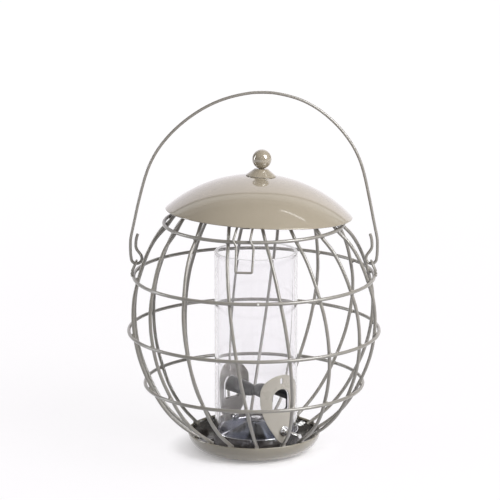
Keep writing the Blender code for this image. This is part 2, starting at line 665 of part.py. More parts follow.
def make_lid():
    tilt = frame("lid_frame", (0, 0, LID_CENTRE), (-LID_LEAN_BACK, LID_LEAN_RIGHT, 0))
    bore = SCREW_DIAMETER / 2 + GAP
    outer = []
    inner = []
    first = math.asin(bore / LID_RADIUS)
    last = math.asin(LID_RIM_RADIUS / LID_RADIUS)
    for i in range(DOME_STEPS + 1):
        angle = first + (last - first) * i / DOME_STEPS
        outer.append((LID_RADIUS * math.sin(angle), LID_RADIUS * math.cos(angle)))
        inner.append((LID_INSIDE * math.sin(angle), LID_INSIDE * math.cos(angle)))
    inner[0] = (bore, inner[0][1])
    turned("lid_dome", outer + inner[::-1], ENAMEL, tilt, steps=RING_STEPS)
    # The boss sits on the dome with a hollow underside, touching at its edge
    seat = math.sqrt(LID_RADIUS ** 2 - BOSS_RADIUS ** 2) + GAP
    crown = LID_RADIUS + GAP
    top = LID_RADIUS + BOSS_RISE
    rise = top - seat
    slope = BOSS_RADIUS - BOSS_NECK_RADIUS
    profile = [(bore, top), (BOSS_NECK_RADIUS, top)]
    profile += [(BOSS_NECK_RADIUS + slope * out, top - rise * down) for out, down in BOSS_FLARE_SHARES]
    profile += [(BOSS_RADIUS, seat + LID_SHEET * BOSS_EDGE_SHARE), (BOSS_RADIUS, seat),
                (BOSS_RADIUS / 2, crown - BOSS_RADIUS ** 2 / (8 * LID_RADIUS)), (bore, crown)]
    turned("lid_boss", profile, ENAMEL, tilt, steps=KNOB_STEPS)
    centre = LID_RADIUS + KNOB_RISE
    foot = top + GAP
    low = math.pi - math.asin(BOSS_NECK_RADIUS * KNOB_SEAT_SHARE / KNOB_RADIUS)
    knob = []
    for i in range(DOME_STEPS + 1):
        angle = low * i / DOME_STEPS
        knob.append((KNOB_RADIUS * math.sin(angle), centre + KNOB_RADIUS * math.cos(angle)))
    knob += [(knob[-1][0], foot), (bore, foot), (bore, foot + KNOB_BORE), (0, foot + KNOB_BORE)]
    turned("lid_knob", knob, ENAMEL, tilt, closed=False, steps=KNOB_STEPS)
    shank = SCREW_DIAMETER / 2
    under = LID_INSIDE - GAP * 2
    tip = foot + KNOB_BORE - GAP
    turned("knob_screw", [(0, tip), (shank, tip), (shank, under), (SCREW_HEAD_RADIUS, under),
                          (SCREW_HEAD_RADIUS * SCREW_CROWN_SHARE, under - SCREW_HEAD),
                          (0, under - SCREW_HEAD)],
           STEEL, tilt, closed=False, steps=SMALL_STEPS)


def make_clip(side, azimuth):
    """A latch clip of bent wire and the lug under the lid that it turns in."""
    turn = frame(f"clip_frame_{side}", turn=(0, 0, azimuth - 90))
    pivot_reach = LID_INSIDE - CLIP_PIVOT_DROP
    pivot = Vector((CLIP_PIVOT_RADIUS, LID_CENTRE + math.sqrt(pivot_reach ** 2 - CLIP_PIVOT_RADIUS ** 2)))
    knee = Vector((UPPER_RADIUS + CLIP_KNEE_OUT, UPPER_HEIGHT + CLIP_KNEE_UP))
    bar = Vector((CLIP_BAR_RADIUS, CLIP_BAR_HEIGHT))
    jog = knee.lerp(bar, CLIP_JOG_SHARE)
    hinge = frame(f"clip_hinge_{side}", (pivot.x, 0, pivot.y), parent=turn)
    legs = []
    for sign, shares in ((-1, CLIP_LEFT_SHARES), (1, CLIP_RIGHT_SHARES)):
        side_leg = [(0, sign * (CLIP_HALF_WIDTH * shares[0] - CLIP_PIN), 0)]
        for spot, share in zip((pivot, knee, jog, bar), shares):
            side_leg.append((spot.x - pivot.x, sign * CLIP_HALF_WIDTH * share, spot.y - pivot.y))
        legs.append(side_leg)
    line = rounded(legs[0] + legs[1][::-1], CLIP_CORNER)
    wire(f"clip_{side}", line, CLIP_WIRE, ENAMEL, hinge)
    top = LID_INSIDE - GAP - (LUG_LENGTH ** 2 + LUG_WIDTH ** 2) / (8 * LID_INSIDE)
    bottom = pivot_reach - LUG_BELOW
    mesh = bpy.data.meshes.new(f"clip_lug_{side}")
    work = bmesh.new()
    bmesh.ops.create_cube(work, size=1, matrix=Matrix.Diagonal((LUG_WIDTH, LUG_LENGTH, top - bottom, 1)))
    work.to_mesh(mesh)
    work.free()
    lug = add_object(f"clip_lug_{side}", mesh, ENAMEL, hinge)
    lean = math.asin(CLIP_PIVOT_RADIUS / pivot_reach)
    middle = (top + bottom) / 2 - pivot_reach
    lug.location = (middle * math.sin(lean), 0, middle * math.cos(lean))
    lug.rotation_euler.y = lean
    boolean(lug, cutter(f"lug_bore_{side}", cylinder_mesh(f"lug_bore_{side}", CLIP_WIRE / 2 + GAP,
                                                         LUG_LENGTH + OVERRUN), hinge, turn=(90, 0, 0)))
    edge = lug.modifiers.new("edges", "BEVEL")
    edge.width = LUG_EDGE
    edge.segments = 1
    edge.limit_method = "ANGLE"
    edge.angle_limit = math.radians(LUG_CREASE)


def hook_points():
    """One J hook as (outwards from the pivot, above it), from the leg to the tip."""
    leg, curl = HOOK_START_SHARES
    points = [(HOOK_LEG * leg, HOOK_CURL * curl)]
    for i in range(LOOP_STEPS + 1):
        angle = math.pi * i / LOOP_STEPS
        points.append((HOOK_CURL * math.cos(angle), HOOK_CURL * (1 - math.sin(angle))))
    points += [(HOOK_LEG * out, HOOK_TIP * up) for out, up in HOOK_TIP_SHARES]
    return points


def make_bail():
    pivot = frame("bail_hinge", (0, 0, BAIL_PIVOT_HEIGHT))
    half = BAIL_PIVOT_HALF + HOOK_LEG
    right = [(BAIL_PIVOT_HALF + out, up) for out, up in hook_points()[::-1]]
    right += [(half * out, BAIL_RISE * up) for out, up in BAIL_ARCH_SHARES]
    line = [(-out, up) for out, up in right] + right[::-1]
    points = [(out + BAIL_LEAN * (max(up, 0) / BAIL_RISE) ** 3, 0, up) for out, up in line]
    wire("bail", points, BAIL_WIRE, ENAMEL, pivot)


def make_eyelet(name, side):
    """A wire loop that stands on the shoulder ring and leans in with the cage."""
    lean = math.radians(EYELET_LEAN)
    line = [(-EYELET_HALF_WIDTH, 0)]
    for i in range(LOOP_STEPS + 1):
        angle = math.pi * i / LOOP_STEPS
        line.append((-EYELET_HALF_WIDTH * math.cos(angle),
                     EYELET_LENGTH - EYELET_HALF_WIDTH * (1 - math.sin(angle))))
    line.append((EYELET_HALF_WIDTH, 0))
    points = [(side * (EYELET_FOOT.x - up * math.sin(lean)), sideways, EYELET_FOOT.y + up * math.cos(lean))
              for sideways, up in line]
    wire(name, points, EYELET_WIRE, ENAMEL)


def build():
    base = frame("tube_base", (TUBE_OFFSET, 0, 0))
    make_cage()
    make_tray(base)
    make_base(base)
    make_tube(base)
    make_lid()
    for side, azimuth in CLIPS:
        make_clip(side, azimuth)
    make_bail()
    make_eyelet("eyelet_left", -1)
    make_eyelet("eyelet_right", 1)
    bpy.context.view_layer.update()


build()
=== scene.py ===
"""Squirrel proof bird feeder: finished pieces, surfaces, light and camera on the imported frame.

Metres, +Z up, the front is -Y. An azimuth is counted from the front towards +X, in degrees.
"""
from math import asin, atan2, copysign, cos, degrees, exp, hypot, pi, radians, sin, sqrt, tan, tau

import bmesh
import bpy
from mathutils import Euler, Matrix, Vector, noise


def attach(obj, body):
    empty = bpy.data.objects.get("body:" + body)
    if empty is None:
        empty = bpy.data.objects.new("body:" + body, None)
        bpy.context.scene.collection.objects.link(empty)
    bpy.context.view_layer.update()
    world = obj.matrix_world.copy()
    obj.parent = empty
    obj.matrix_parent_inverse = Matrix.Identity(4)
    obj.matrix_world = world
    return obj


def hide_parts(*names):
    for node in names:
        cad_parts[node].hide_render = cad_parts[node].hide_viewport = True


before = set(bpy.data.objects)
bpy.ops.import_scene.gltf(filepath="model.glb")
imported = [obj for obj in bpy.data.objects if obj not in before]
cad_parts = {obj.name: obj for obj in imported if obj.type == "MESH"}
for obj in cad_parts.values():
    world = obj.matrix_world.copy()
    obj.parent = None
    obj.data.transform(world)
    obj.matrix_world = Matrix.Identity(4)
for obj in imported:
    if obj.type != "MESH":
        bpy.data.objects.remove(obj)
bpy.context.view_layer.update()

# Sizes that the solids have too
GAP = 0.0003
WIRE = 0.003
RIB_LINE = ((0.066, 0.026), (0.0768, 0.0368), (0.0852, 0.0486), (0.092, 0.0619),
            (0.0983, 0.0765), (0.1029, 0.0915), (0.1056, 0.108), (0.1064, 0.124),
            (0.1049, 0.1405), (0.101, 0.1553), (0.0972, 0.167), (0.092, 0.179),
            (0.085, 0.1905), (0.0752, 0.201))
RING_STATIONS = (("lower_ring", 3), ("equator_ring", 6), ("shoulder_ring", 9), ("upper_ring", 13))
TOP_RADIUS = 0.058
TOP_BOW = 0.0012
RIB_TAIL = 0.003
RIB_FOOT = 0.0045
RIB_SLANT = 8.2
RIB_AZIMUTHS = (16.5, 37, 58.5, 80.5, 103, 126, 149.5, 172.5,
                192.5, 215.5, 237.5, 260, 282.5, 305.5, 328, 352)

TRAY_RIM_RADIUS = 0.058
TRAY_FOOT_RADIUS = 0.036
TRAY_HEIGHT = 0.0168
TRAY_SHEET = 0.0012
TRAY_FACETS = 0.0003

TUBE_OFFSET = 0.0018
TUBE_RADIUS = 0.036
TUBE_WALL = 0.0025
TUBE_TOP = 0.1778
CUP_FLOOR = 0.0065
CUP_SHEET = 0.0008
CUP_DEPTH = 0.0118
SPACER_RADIUS = 0.024
CONE_RISE = 0.0175
CONE_TOP_RADIUS = 0.007
CONE_SHEET = 0.0008
BOLT_DIAMETER = 0.004
BOLT_HEAD_RADIUS = 0.0033
BOLT_HEAD_RISE = 0.0011
NUT_RADIUS = 0.0042
NUT_THICKNESS = 0.0032

PORTS = (("near", 35.4, 0, 4.0, 0.0002), ("far", 220.3, 0.0035, -4.0, -0.0024))
PLATE_FOOT = 0.014
PLATE_HEIGHT = 0.0608
PLATE_TOP = PLATE_FOOT + PLATE_HEIGHT
PLATE_HALF_WIDTH = 0.0187
PLATE_ARCH = 0.0153
PLATE_SHEET = 0.0008
PLATE_STANDOFF = 0.0014
PLATE_BEND = TUBE_RADIUS + PLATE_STANDOFF
PLATE_SIDE_SHARES = ((1.0, 0.37), (0.97, 0.46), (0.906, 0.55), (0.78, 0.66),
                     (0.604, 0.77), (0.4, 0.87), (0.218, 0.95), (0.09, 0.987))
OPENING_DROP = 0.0125
OPENING_TOP = PLATE_TOP - OPENING_DROP
OPENING_HEIGHT = 0.0198
OPENING_HALF_WIDTH = 0.0087
OPENING_CORNER = 0.0025
SLOT_DROP = 0.0053
SLOT_HEIGHT = PLATE_TOP - SLOT_DROP
SLOT_WIDTH = 0.0026
SLOT_LENGTH = 0.0052
HOOD_BLUNT = 0.56
HOOD_SKIRT = 0.0022
HOOD_SHEET = 0.0008
HOOD_FIT = 0.0005

PERCH_RISE = 0.0104
PERCH_HEIGHT = PLATE_FOOT + PERCH_RISE
PERCH_DIAMETER = 0.0027
PERCH_LENGTH = 0.0221
PERCH_KNOB_RADIUS = 0.0022
PERCH_COLLAR_RADIUS = 0.0046
PERCH_COLLAR = 0.0009
PERCH_HUB_RADIUS = 0.0026
PERCH_HUB = 0.0024
PERCH_NUT_RADIUS = 0.0032
PERCH_NUT = 0.0026
PERCH_SPACER_RADIUS = 0.0022

LID_CENTRE = 0.1269
LID_RADIUS = 0.1169
LID_SHEET = 0.001
LID_RIM_RADIUS = 0.0813
LID_LEAN_BACK = 3.0
LID_LEAN_RIGHT = 3.0
BOSS_RADIUS = 0.013
BOSS_NECK_RADIUS = 0.0057
BOSS_RISE = 0.0047
BOSS_CROWN = 0.001
BOSS_SHARES = ((0.42, 0.4), (0.97, 0.9), (1.0, 0.94))
KNOB_RADIUS = 0.0084
KNOB_RISE = 0.014
KNOB_BORE = 0.008
KNOB_SEAT = 0.0029
SCREW_DIAMETER = 0.0035
SCREW_HEAD_RADIUS = 0.0036
SCREW_HEAD = 0.002

CLIPS = (("front", -5.5), ("back", 174.5))
CLIP_WIRE = 0.002
CLIP_PIVOT_SHARE = 0.5574
CLIP_PIVOT_DROP = 0.0034
CLIP_KNEE_OUT = 0.0025
CLIP_KNEE_UP = 0.002
CLIP_BAR_RADIUS = 0.0905
CLIP_BAR_HEIGHT = 0.18
CLIP_HALF_WIDTH = 0.0072
CLIP_CORNER = 0.0014
CLIP_PIN = 0.0038
CLIP_JOG_SHARE = 0.2
CLIP_LEFT_SHARES = (0.97, 1.36, 0.96, 0.96)
CLIP_RIGHT_SHARES = (0.84, 0.62, 1.07, 0.99)
LUG_LENGTH = 0.008
LUG_WIDTH = 0.005
LUG_BELOW = 0.0021
LUG_EDGE = 0.0006

BAIL_WIRE = 0.0026
BAIL_PIVOT_RISE = 0.01027
BAIL_RISE = 0.1506
BAIL_LEAN = 0.0072
BAIL_ARCH_SHARES = ((0.999, 0.14), (0.982, 0.204), (0.964, 0.264), (0.944, 0.334), (0.922, 0.403),
                    (0.897, 0.478), (0.868, 0.55), (0.835, 0.611), (0.783, 0.68), (0.712, 0.749),
                    (0.622, 0.817), (0.51, 0.882), (0.418, 0.923), (0.33, 0.953), (0.243, 0.974),
                    (0.154, 0.989), (0.069, 0.998))
HOOK_CURL = 0.0046
HOOK_LEG = 0.0052
HOOK_TIP = 0.0266
HOOK_TIP_SHARES = ((-0.8, 0.26), (-0.55, 0.34), (-0.16, 0.44), (0.07, 0.54),
                   (0.09, 0.7), (0.0, 0.84), (-0.25, 1.0))
EYELET_WIRE = 0.002
EYELET_HALF_WIDTH = 0.0055
EYELET_LEAN = 22.5

# Small forms that only the finished pieces have
SHEET_EDGE = 0.00018
TUBE_EASE = 0.0003
SPACER_EASE = 0.0006
CUP_EASE = 0.0018
CUP_INNER_EASE = 0.0004
CONE_EASE = 0.002
PERCH_EASE = 0.0005
WASHER_EASE = 0.0002
BOSS_EASE = 0.0006
SCREW_EASE = 0.0007
BURR_SHARE = 0.3
BURR_END_SHARE = 0.7
SEAM_SWELL = 0.1
SEAM_REACH = WIRE * 0.8
NUT_CORNER_SHARE = 1.02
NUT_LAND_SHARE = 0.97
NUT_CHAMFER_SHARE = 0.16
NUT_CUTTER_SHARES = (1.3, 1.5)
THREAD_PITCH = 0.0007
THREAD_DEPTH = 0.00028
THREAD_SHARES = (0.45, 0.9)
TIP_SHARE = 0.8
TIP_LAND_SHARE = 0.2
BOLT_LEAD_SHARE = 0.2
BOLT_SLOT = (0.009, 0.0008, 0.0012)
BOLT_SLOT_TURN = 31
SCREW_LEAD_SHARE = 0.3
SCREW_HEAD_SHARES = ((1, 1), (0.95, 0.35), (0.6, 0), (0, 0))
SCREW_RECESS = (0.0038, 0.00084, 0.002)
SCREW_RECESS_TURNS = (20, 110)
PERCH_TIP_SHARES = ((0, 0), (0.92, 0.12), (0.92, 0.62))
PERCH_NECK_SHARES = (1.5, 2.2)
PERCH_HUB_SHARE = 0.45
PERCH_BACK_SHARES = (0.5, 0.3, 0.7)
HOOD_EDGE_SHARE = 0.3
LUG_BORE_SHARE = 1.3
HOOK_START_SHARES = (0.97, 1.7)
# How far a face must turn up and inwards to take the tray's painted shade
TRAY_INSIDE_SHADE_TURN = 0.3

# Meshing of the finished pieces
LATHE_STEPS = 128
SMALL_STEPS = 48
KNOB_STEPS = 96
LID_STEPS = 160
TUBE_STEPS = 256
RING_STEPS = 180
WIRE_SIDES = 14
BENT_WIRE_SIDES = 16
CURVE_STEPS = 5
FINE_STEPS = 4
BEND_STEPS = 6
CLIP_BEND_STEPS = 7
LIP_STEPS = 8
ARCH_STEPS = 20
DOOR_STEPS = 36
SLOT_STEPS = 11
HOOK_STEPS = 12
EYELET_STEPS = 24
TRAY_STEPS = 28
LID_ARC_STEPS = 44
KNOB_ARC_STEPS = 40
PLATE_STRIPS = 28
HOOD_STEPS = 28
SHARP = 32
MERGE = 0.000002
SUPPORT = 0.0004

# Weld beads, as half sizes across, along and through the joint, and what varies their lumps
BEAD = (0.0019, 0.0019, 0.00115)
RIM_BEAD = (0.0017, 0.0024, 0.0008)
RIM_BEAD_DROP = 0.0012
EYELET_BEAD = (0.0014, 0.0017, 0.0014)
EYELET_BEAD_SHARE = 0.42
MARK = (0.0011, 0.001, 0.0006)
MARK_OUT_SHARE = 0.86
MARK_RISE = 0.0002
BEAD_LUMP = 0.16
BEAD_GRAIN = 1.9
BEAD_SHIFT = (3.7, 1.3, 7.1)
BEADS_PER_RIB = 5
RIM_SEED = 91
EYELET_SEED = 200
EYELET_SEED_STEP = 10
MARK_SEED = 4
SEAM_AZIMUTH = {"lower_ring": 171, "equator_ring": 206, "shoulder_ring": 1.9, "upper_ring": 158,
                "top_ring": 230}

# Grains of the surfaces: grains per metre, detail and roughness
ENAMEL_CLOUDS = (26, 4, 0.6)
ENAMEL_POLISH = (60, 5, 0.65)
ENAMEL_PEEL = (420, 2, 0.4)
ENAMEL_FINE_PEEL = (1500, 2, 0.5)
ENAMEL_SPECKS = (1900, 2, 0.5)
SPECK_SHADE = 0.72
SPECK_RANGE = (0.66, 0.8)
POLISH_SHARES = (0.75, 1.35)
PEEL_SHARES = (1.6, 0.3)
STEEL_CLOUDS = (140, 4, 0.6)
STEEL_POLISH = (500, 4, 0.6)
STEEL_GRAIN = (900, 3, 0.5)
STEEL_DEPTH = 0.000002
FILM_CLOUDS = (45, 4, 0.6)
FILM_POLISH = (90, 4, 0.6)
DRAW_MARKS = (160, 2, 0.5, (1, 1, 0.05))
DRAW_DEPTH = 0.0000012
SAWN_CLOUDS = (300, 4, 0.6)
SAWN_POLISH = (700, 3, 0.6)
SAWN_GRAIN = (1800, 2, 0.5)
SAWN_DEPTH = 0.000006
MOULD_CLOUDS = (90, 4, 0.6)
MOULD_POLISH = (320, 3, 0.6)
MOULD_SPARK = (2400, 2, 0.6)

# Studio
CAMERA_SPOT = (0, -2.6272, 0.7962)
CAMERA_TILT = 76.77
CAMERA_LENS = 224.5
CAMERA_SENSOR = 36
CAMERA_SHIFT = -0.00784
LAMP_AIM = Vector((0, 0, 0.13))
SOFTBOXES = (("softbox_right", 54, 37, 1.6, 0.8, 1.1, 29), ("softbox_left", -100, 14, 1.5, 0.3, 0.8, 6),
             ("softbox_top", 95, 66, 1.6, 0.7, 0.8, 4, False),
             ("softbox_fill", 8, 12, 1.8, 0.8, 0.6, 7, False),
             ("strip_top", 124.9, 61.6, 1.6, 0.42, 0.035, 0.12, True, True))
WORLD_COLOUR = (1.0, 0.99, 0.98)
WORLD_LEVEL = 0.23
BACKGROUND = (1.0, 0.985, 1.0)
PAPER_HALF_WIDTH = 0.6
PAPER_MIDDLE = 0.2
PAPER_HALF_HEIGHT = 1.03
PAPER_DEPTH = 0.02
PAPER_SCALE = 0.5
PAPER_TONES = ((0, (1.0, 0.96, 0.99)), (0.47, (0.93, 0.89, 0.91)), (0.49, (0.16, 0.15, 0.14)),
               (0.51, (0.16, 0.15, 0.14)), (0.53, (0.8, 0.79, 0.78)), (0.6, (0.75, 0.74, 0.72)),
               (0.7, (0.55, 0.54, 0.52)), (1.0, (0.22, 0.215, 0.21)))
FLOOR_CLOUDS = (3, 3, 0.5)
FLOOR_POLISH = (30, 3, 0.5)
FLOOR_ROUGHNESS = (0.75, 0.9)
FLOOR_LIGHT = (0.095, 0.092, 0.097)
FLOOR_DARK = (0.085, 0.082, 0.087)
FLOOR_NEAR = (0.84, 0.83, 0.85)
FLOOR_NEAR_START = 0.046
FLOOR_NEAR_END = 0.078
FLOOR_NEAR_LOSS = 0.71
FLOOR_GLOW = (0.9, 1.0)
FLOOR_GLOW_RANGE = (0.1, 1.6)
FLOOR_HALF = 9

LID_INSIDE = LID_RADIUS - LID_SHEET
TOP_REACH = LID_INSIDE - GAP - WIRE / 2
TUBE_BORE = TUBE_RADIUS - TUBE_WALL
BASE = Matrix.Translation((TUBE_OFFSET, 0, 0))
UP = Vector((0, 0, 1))


# Surfaces

def set_up(made, settings):
    for key, value in settings.items():
        setattr(made, key, value)
    return made


def feed(tree, slot, value):
    """Give an input a socket or a value; a colour gets its fourth number."""
    if isinstance(value, bpy.types.NodeSocket):
        tree.links.new(value, slot)
    else:
        slot.default_value = (*value, 1) if slot.type == "RGBA" else value


def fill(tree, made, inputs):
    """Feed a node's inputs by name, with _ for a space."""
    for key, value in inputs.items():
        feed(tree, made.inputs[key.replace("_", " ")], value)


def node(tree, kind, settings=None, **inputs):
    made = set_up(tree.nodes.new("ShaderNode" + kind), settings or {})
    fill(tree, made, inputs)
    return made


def maths(tree, operation, first, second):
    made = node(tree, "Math", {"operation": operation})
    feed(tree, made.inputs[0], first)
    feed(tree, made.inputs[1], second)
    return made.outputs[0]


def grain(tree, scale, detail, roughness, stretch=(1, 1, 1)):
    """A noise field in the piece's own coordinates; the scale is in grains per metre."""
    mapping = node(tree, "Mapping", Vector=node(tree, "TexCoord").outputs["Object"], Scale=stretch)
    return node(tree, "TexNoise", Vector=mapping.outputs["Vector"], Scale=scale, Detail=detail,
                Roughness=roughness).outputs["Fac"]


def ranged(tree, field, low, high, start=0.3, end=0.7):
    return node(tree, "MapRange", Value=field, From_Min=start, From_Max=end, To_Min=low,
                To_Max=high).outputs["Result"]


def mixed(tree, share, low, high):
    """Two colours, each a socket or three numbers, mixed by a share."""
    mix = node(tree, "Mix", {"data_type": "RGBA"})
    for i, value in ((0, share), (6, low), (7, high)):
        feed(tree, mix.inputs[i], value)
    return mix.outputs[2]


def bumped(tree, bumps):
    """The normal from (grain, height in metres) pairs, laid over each other."""
    normal = {}
    for field, height in bumps:
        bump = node(tree, "Bump", Strength=1.0, Distance=height, Height=grain(tree, *field), **normal)
        normal = {"Normal": bump.outputs["Normal"]}
    return normal["Normal"]


def new_material(name):
    made = bpy.data.materials.new(name)
    made.use_nodes = True
    return made, made.node_tree, made.node_tree.nodes["Principled BSDF"]


def finish(name, slot, clouds, light, dark, polish, smooth, rough, bumps, specks=None, **settings):
    """A material and its slot: clouded colour, uneven polish and fine bumps, each over its own grain."""
    made, tree, shader = new_material("finish_" + name)
    colour = mixed(tree, ranged(tree, grain(tree, *clouds), 0, 1), dark, light)
    if specks:
        shade = tuple(part * SPECK_SHADE for part in dark)
        colour = mixed(tree, ranged(tree, grain(tree, *specks), 0, 1, *SPECK_RANGE), colour, shade)
    fill(tree, shader, {"Base Color": colour, "Normal": bumped(tree, bumps), **settings,
                        "Roughness": ranged(tree, grain(tree, *polish), smooth, rough)})
    return made, slot


def enamel(name, light, dark, gloss=0.16, peel=0.00001, coat=1.5, veil=0.05):
    """Stove enamel over steel: an even coat with orange peel, faint clouds and pin specks."""
    smooth, rough = (gloss * share for share in POLISH_SHARES)
    bumps = zip((ENAMEL_PEEL, ENAMEL_FINE_PEEL), (peel * share for share in PEEL_SHARES))
    return finish("enamel_" + name, "taupe_enamel", ENAMEL_CLOUDS, light, dark, ENAMEL_POLISH, smooth, rough,
                  bumps, ENAMEL_SPECKS, IOR=1.6, Coat_Weight=0.9, Coat_Roughness=veil, Coat_IOR=coat)


def steel(name, light, dark, smooth, rough, brush=(1, 1, 1)):
    """Bright plated steel with a drawn grain and uneven polish."""
    return finish(name, "bright_steel", STEEL_CLOUDS, light, dark, (*STEEL_POLISH, brush), smooth, rough,
                  [((*STEEL_GRAIN, brush), STEEL_DEPTH)], Metallic=1.0)


def clear_plastic():
    """Extruded clear tube with a faint film and long draw marks."""
    return finish("clear_tube", "clear_tube", FILM_CLOUDS, (0.975, 0.968, 0.98), (0.955, 0.948, 0.96),
                  FILM_POLISH, 0.0, 0.02, [(DRAW_MARKS, DRAW_DEPTH)], Transmission_Weight=0.985, IOR=1.4)


def tube_end_painted_glow():
    """The sawn ends of the clear tube: frosted and pale, with a painted glow (emission) that stands in for
    the light the wall leads to them.
    """
    return finish("tube_end_painted_glow", "clear_tube", SAWN_CLOUDS, (0.92, 0.91, 0.94), (0.84, 0.83, 0.86),
                  SAWN_POLISH, 0.5, 0.7, [(SAWN_GRAIN, SAWN_DEPTH)], Emission_Color=(0.93, 0.92, 0.95),
                  Emission_Strength=0.42)


def dark_plastic(name, light, dark, smooth, rough, texture):
    """Moulded dark plastic or rubber with a fine spark texture."""
    return finish(name, "dark_" + name, MOULD_CLOUDS, light, dark, MOULD_POLISH, smooth, rough,
                  [(MOULD_SPARK, texture)])


# Each finish is a material and the slot that it fills
# Tray and clip-bearing enamel: the shared taupe enamel darkened, as painted shade
SHADED_ENAMEL = enamel("tray", (0.315, 0.284, 0.222), (0.29, 0.26, 0.201))
# The tray's inside: the same enamel darkened near to black, as painted shade
TRAY_INSIDE_SHADE = enamel("inside", (0.06, 0.049, 0.042), (0.045, 0.037, 0.032), 0.1, 0.000005, 1.7)
# Wire enamel: greyer than the lid's, and darker as painted shade that gives the wires dark sides
WIRE_ENAMEL_SHADED = enamel("wire", (0.25, 0.232, 0.204), (0.222, 0.205, 0.178), 0.35, 0.000001, 1.9, 0.32)
LID_ENAMEL = enamel("lid", (0.346, 0.3, 0.232), (0.322, 0.279, 0.213), 0.12, 0.000006, 1.75)
# Plate enamel: the shared taupe enamel made lighter, as painted light on the port shields
PLATE_ENAMEL_LIT = enamel("plate", (0.485, 0.452, 0.398), (0.462, 0.43, 0.378), 0.3)
STEEL = steel("steel", (0.8, 0.8, 0.8), (0.7, 0.7, 0.71), 0.06, 0.18)
CUP_STEEL = steel("cup_steel", (0.88, 0.88, 0.91), (0.76, 0.76, 0.8), 0.1, 0.22, (1, 1, 6))
# The cone's dark blue-grey is painted reflection: polished steel darkened as if mirroring the dark inside of
# the tube
CONE_STEEL_DARK_REFLECTION = steel("cone_steel_dark_reflection", (0.105, 0.118, 0.15), (0.055, 0.062, 0.083), 0.08, 0.22)
MARK_STEEL = steel("weld_mark", (0.93, 0.92, 0.9), (0.84, 0.83, 0.8), 0.25, 0.5)
CLEAR = clear_plastic()
TUBE_END_GLOW = tube_end_painted_glow()
HOOD = dark_plastic("hood", (0.028, 0.027, 0.026), (0.016, 0.016, 0.016), 0.3, 0.45, 0.000006)
RUBBER = dark_plastic("rubber", (0.035, 0.034, 0.034), (0.02, 0.02, 0.021), 0.6, 0.8, 0.00001)


# Making

def place(turn, spot=(0, 0, 0)):
    """A matrix from a turn in degrees about X, Y and Z and a place."""
    angles = Euler([radians(angle) for angle in turn])
    return Matrix.Translation(spot) @ angles.to_matrix().to_4x4()


def lifted(height):
    return Matrix.Translation((0, 0, height))


def linked(name, data):
    """A new object in the scene."""
    made = bpy.data.objects.new(name, data)
    bpy.context.scene.collection.objects.link(made)
    return made


def add_piece(name, mesh, look, solid=None, at=None, body="cage"):
    """A finished piece that rides on a body and stands for the solid named."""
    surface, slot = look
    if at:
        mesh.transform(at)
    mesh.shade_smooth()
    mesh.set_sharp_from_angle(angle=radians(SHARP))
    mesh.name = name
    mesh.materials.append(surface)
    piece = linked(name, mesh)
    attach(piece, body)
    if solid:
        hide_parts(solid)
    return piece


def finished(work):
    """The mesh of a bmesh, its doubled points merged and its faces turned outwards."""
    bmesh.ops.remove_doubles(work, verts=work.verts, dist=MERGE)
    bmesh.ops.recalc_face_normals(work, faces=work.faces)
    mesh = bpy.data.meshes.new("made")
    work.to_mesh(mesh)
    work.free()
    return mesh


def evaluated(holder):
    """The final mesh of a helper object, which is then removed."""
    bpy.context.view_layer.update()
    made = bpy.data.meshes.new_from_object(holder.evaluated_get(bpy.context.evaluated_depsgraph_get()))
    bpy.data.objects.remove(holder)
    return made


def modified(mesh, steps):
    """The mesh after modifiers, each a (type, settings) pair."""
    holder = linked("holder", mesh)
    for kind, settings in steps:
        set_up(holder.modifiers.new(kind, kind), settings)
    return evaluated(holder)


def bevelled(width, segments, angle):
    return "BEVEL", {"width": width, "segments": segments, "limit_method": "ANGLE",
                     "angle_limit": radians(angle)}


def cut(mesh, tools):
    """The mesh less each of the closed tool meshes."""
    holders = [linked("tool", tool) for tool in tools]
    made = modified(mesh, [("BOOLEAN", {"object": holder, "solver": "EXACT"}) for holder in holders])
    for holder in holders:
        bpy.data.objects.remove(holder)
    return made


def skin(work, rows):
    """Faces between neighbouring rows of points; a row of one point is a pole."""
    for low, high in zip(rows, rows[1:]):
        count = max(len(low), len(high))
        for i in range(count):
            j = (i + 1) % count
            corners = list(dict.fromkeys((low[i % len(low)], low[j % len(low)],
                                          high[j % len(high)], high[i % len(high)])))
            if len(corners) > 2:
                work.faces.new(corners)


def around(count):
    """The angles of a full turn in even steps."""
    return [tau * i / count for i in range(count)]


def turned(profile, steps=LATHE_STEPS):
    """A solid turned about Z from (radius, height) points down its outside and back up inside."""
    work = bmesh.new()
    rows = []
    for radius, height in profile:
        angles = around(steps) if radius > 0 else [0]
        rows.append([work.verts.new((radius * cos(angle), radius * sin(angle), height)) for angle in angles])
    skin(work, rows + rows[:1])
    return finished(work)


def arc(centre, radius, start, end, steps=BEND_STEPS, rise=None):
    """Points of an arc; angles in degrees from X to Y. With a rise it is that high instead of round."""
    angles = [radians(start + (end - start) * i / steps) for i in range(steps + 1)]
    return [(centre[0] + radius * cos(angle), centre[1] + (rise or radius) * sin(angle))
            for angle in angles]


def eased(profile, radius, steps=3):
    """The profile with each bend rounded."""
    points = [Vector(point) for point in profile]
    line = [points[0]]
    for before, corner, after in zip(points, points[1:], points[2:]):
        back = before - corner
        ahead = after - corner
        start = corner + back.normalized() * min(radius, back.length / 2)
        end = corner + ahead.normalized() * min(radius, ahead.length / 2)
        for i in range(steps + 1):
            share = i / steps
            line.append(start.lerp(corner, share).lerp(corner.lerp(end, share), share))
    line.append(points[-1])
    return line


def supported(profile):
    """The profile with points close to both ends of its long runs, so that these shade as straight."""
    points = [Vector(point) for point in profile]
    line = points[:1]
    for start, end in zip(points, points[1:]):
        step = (end - start).normalized() * SUPPORT
        if (end - start).length > SUPPORT * 4:
            line += [start + step, end - step]
        line.append(end)
    return line


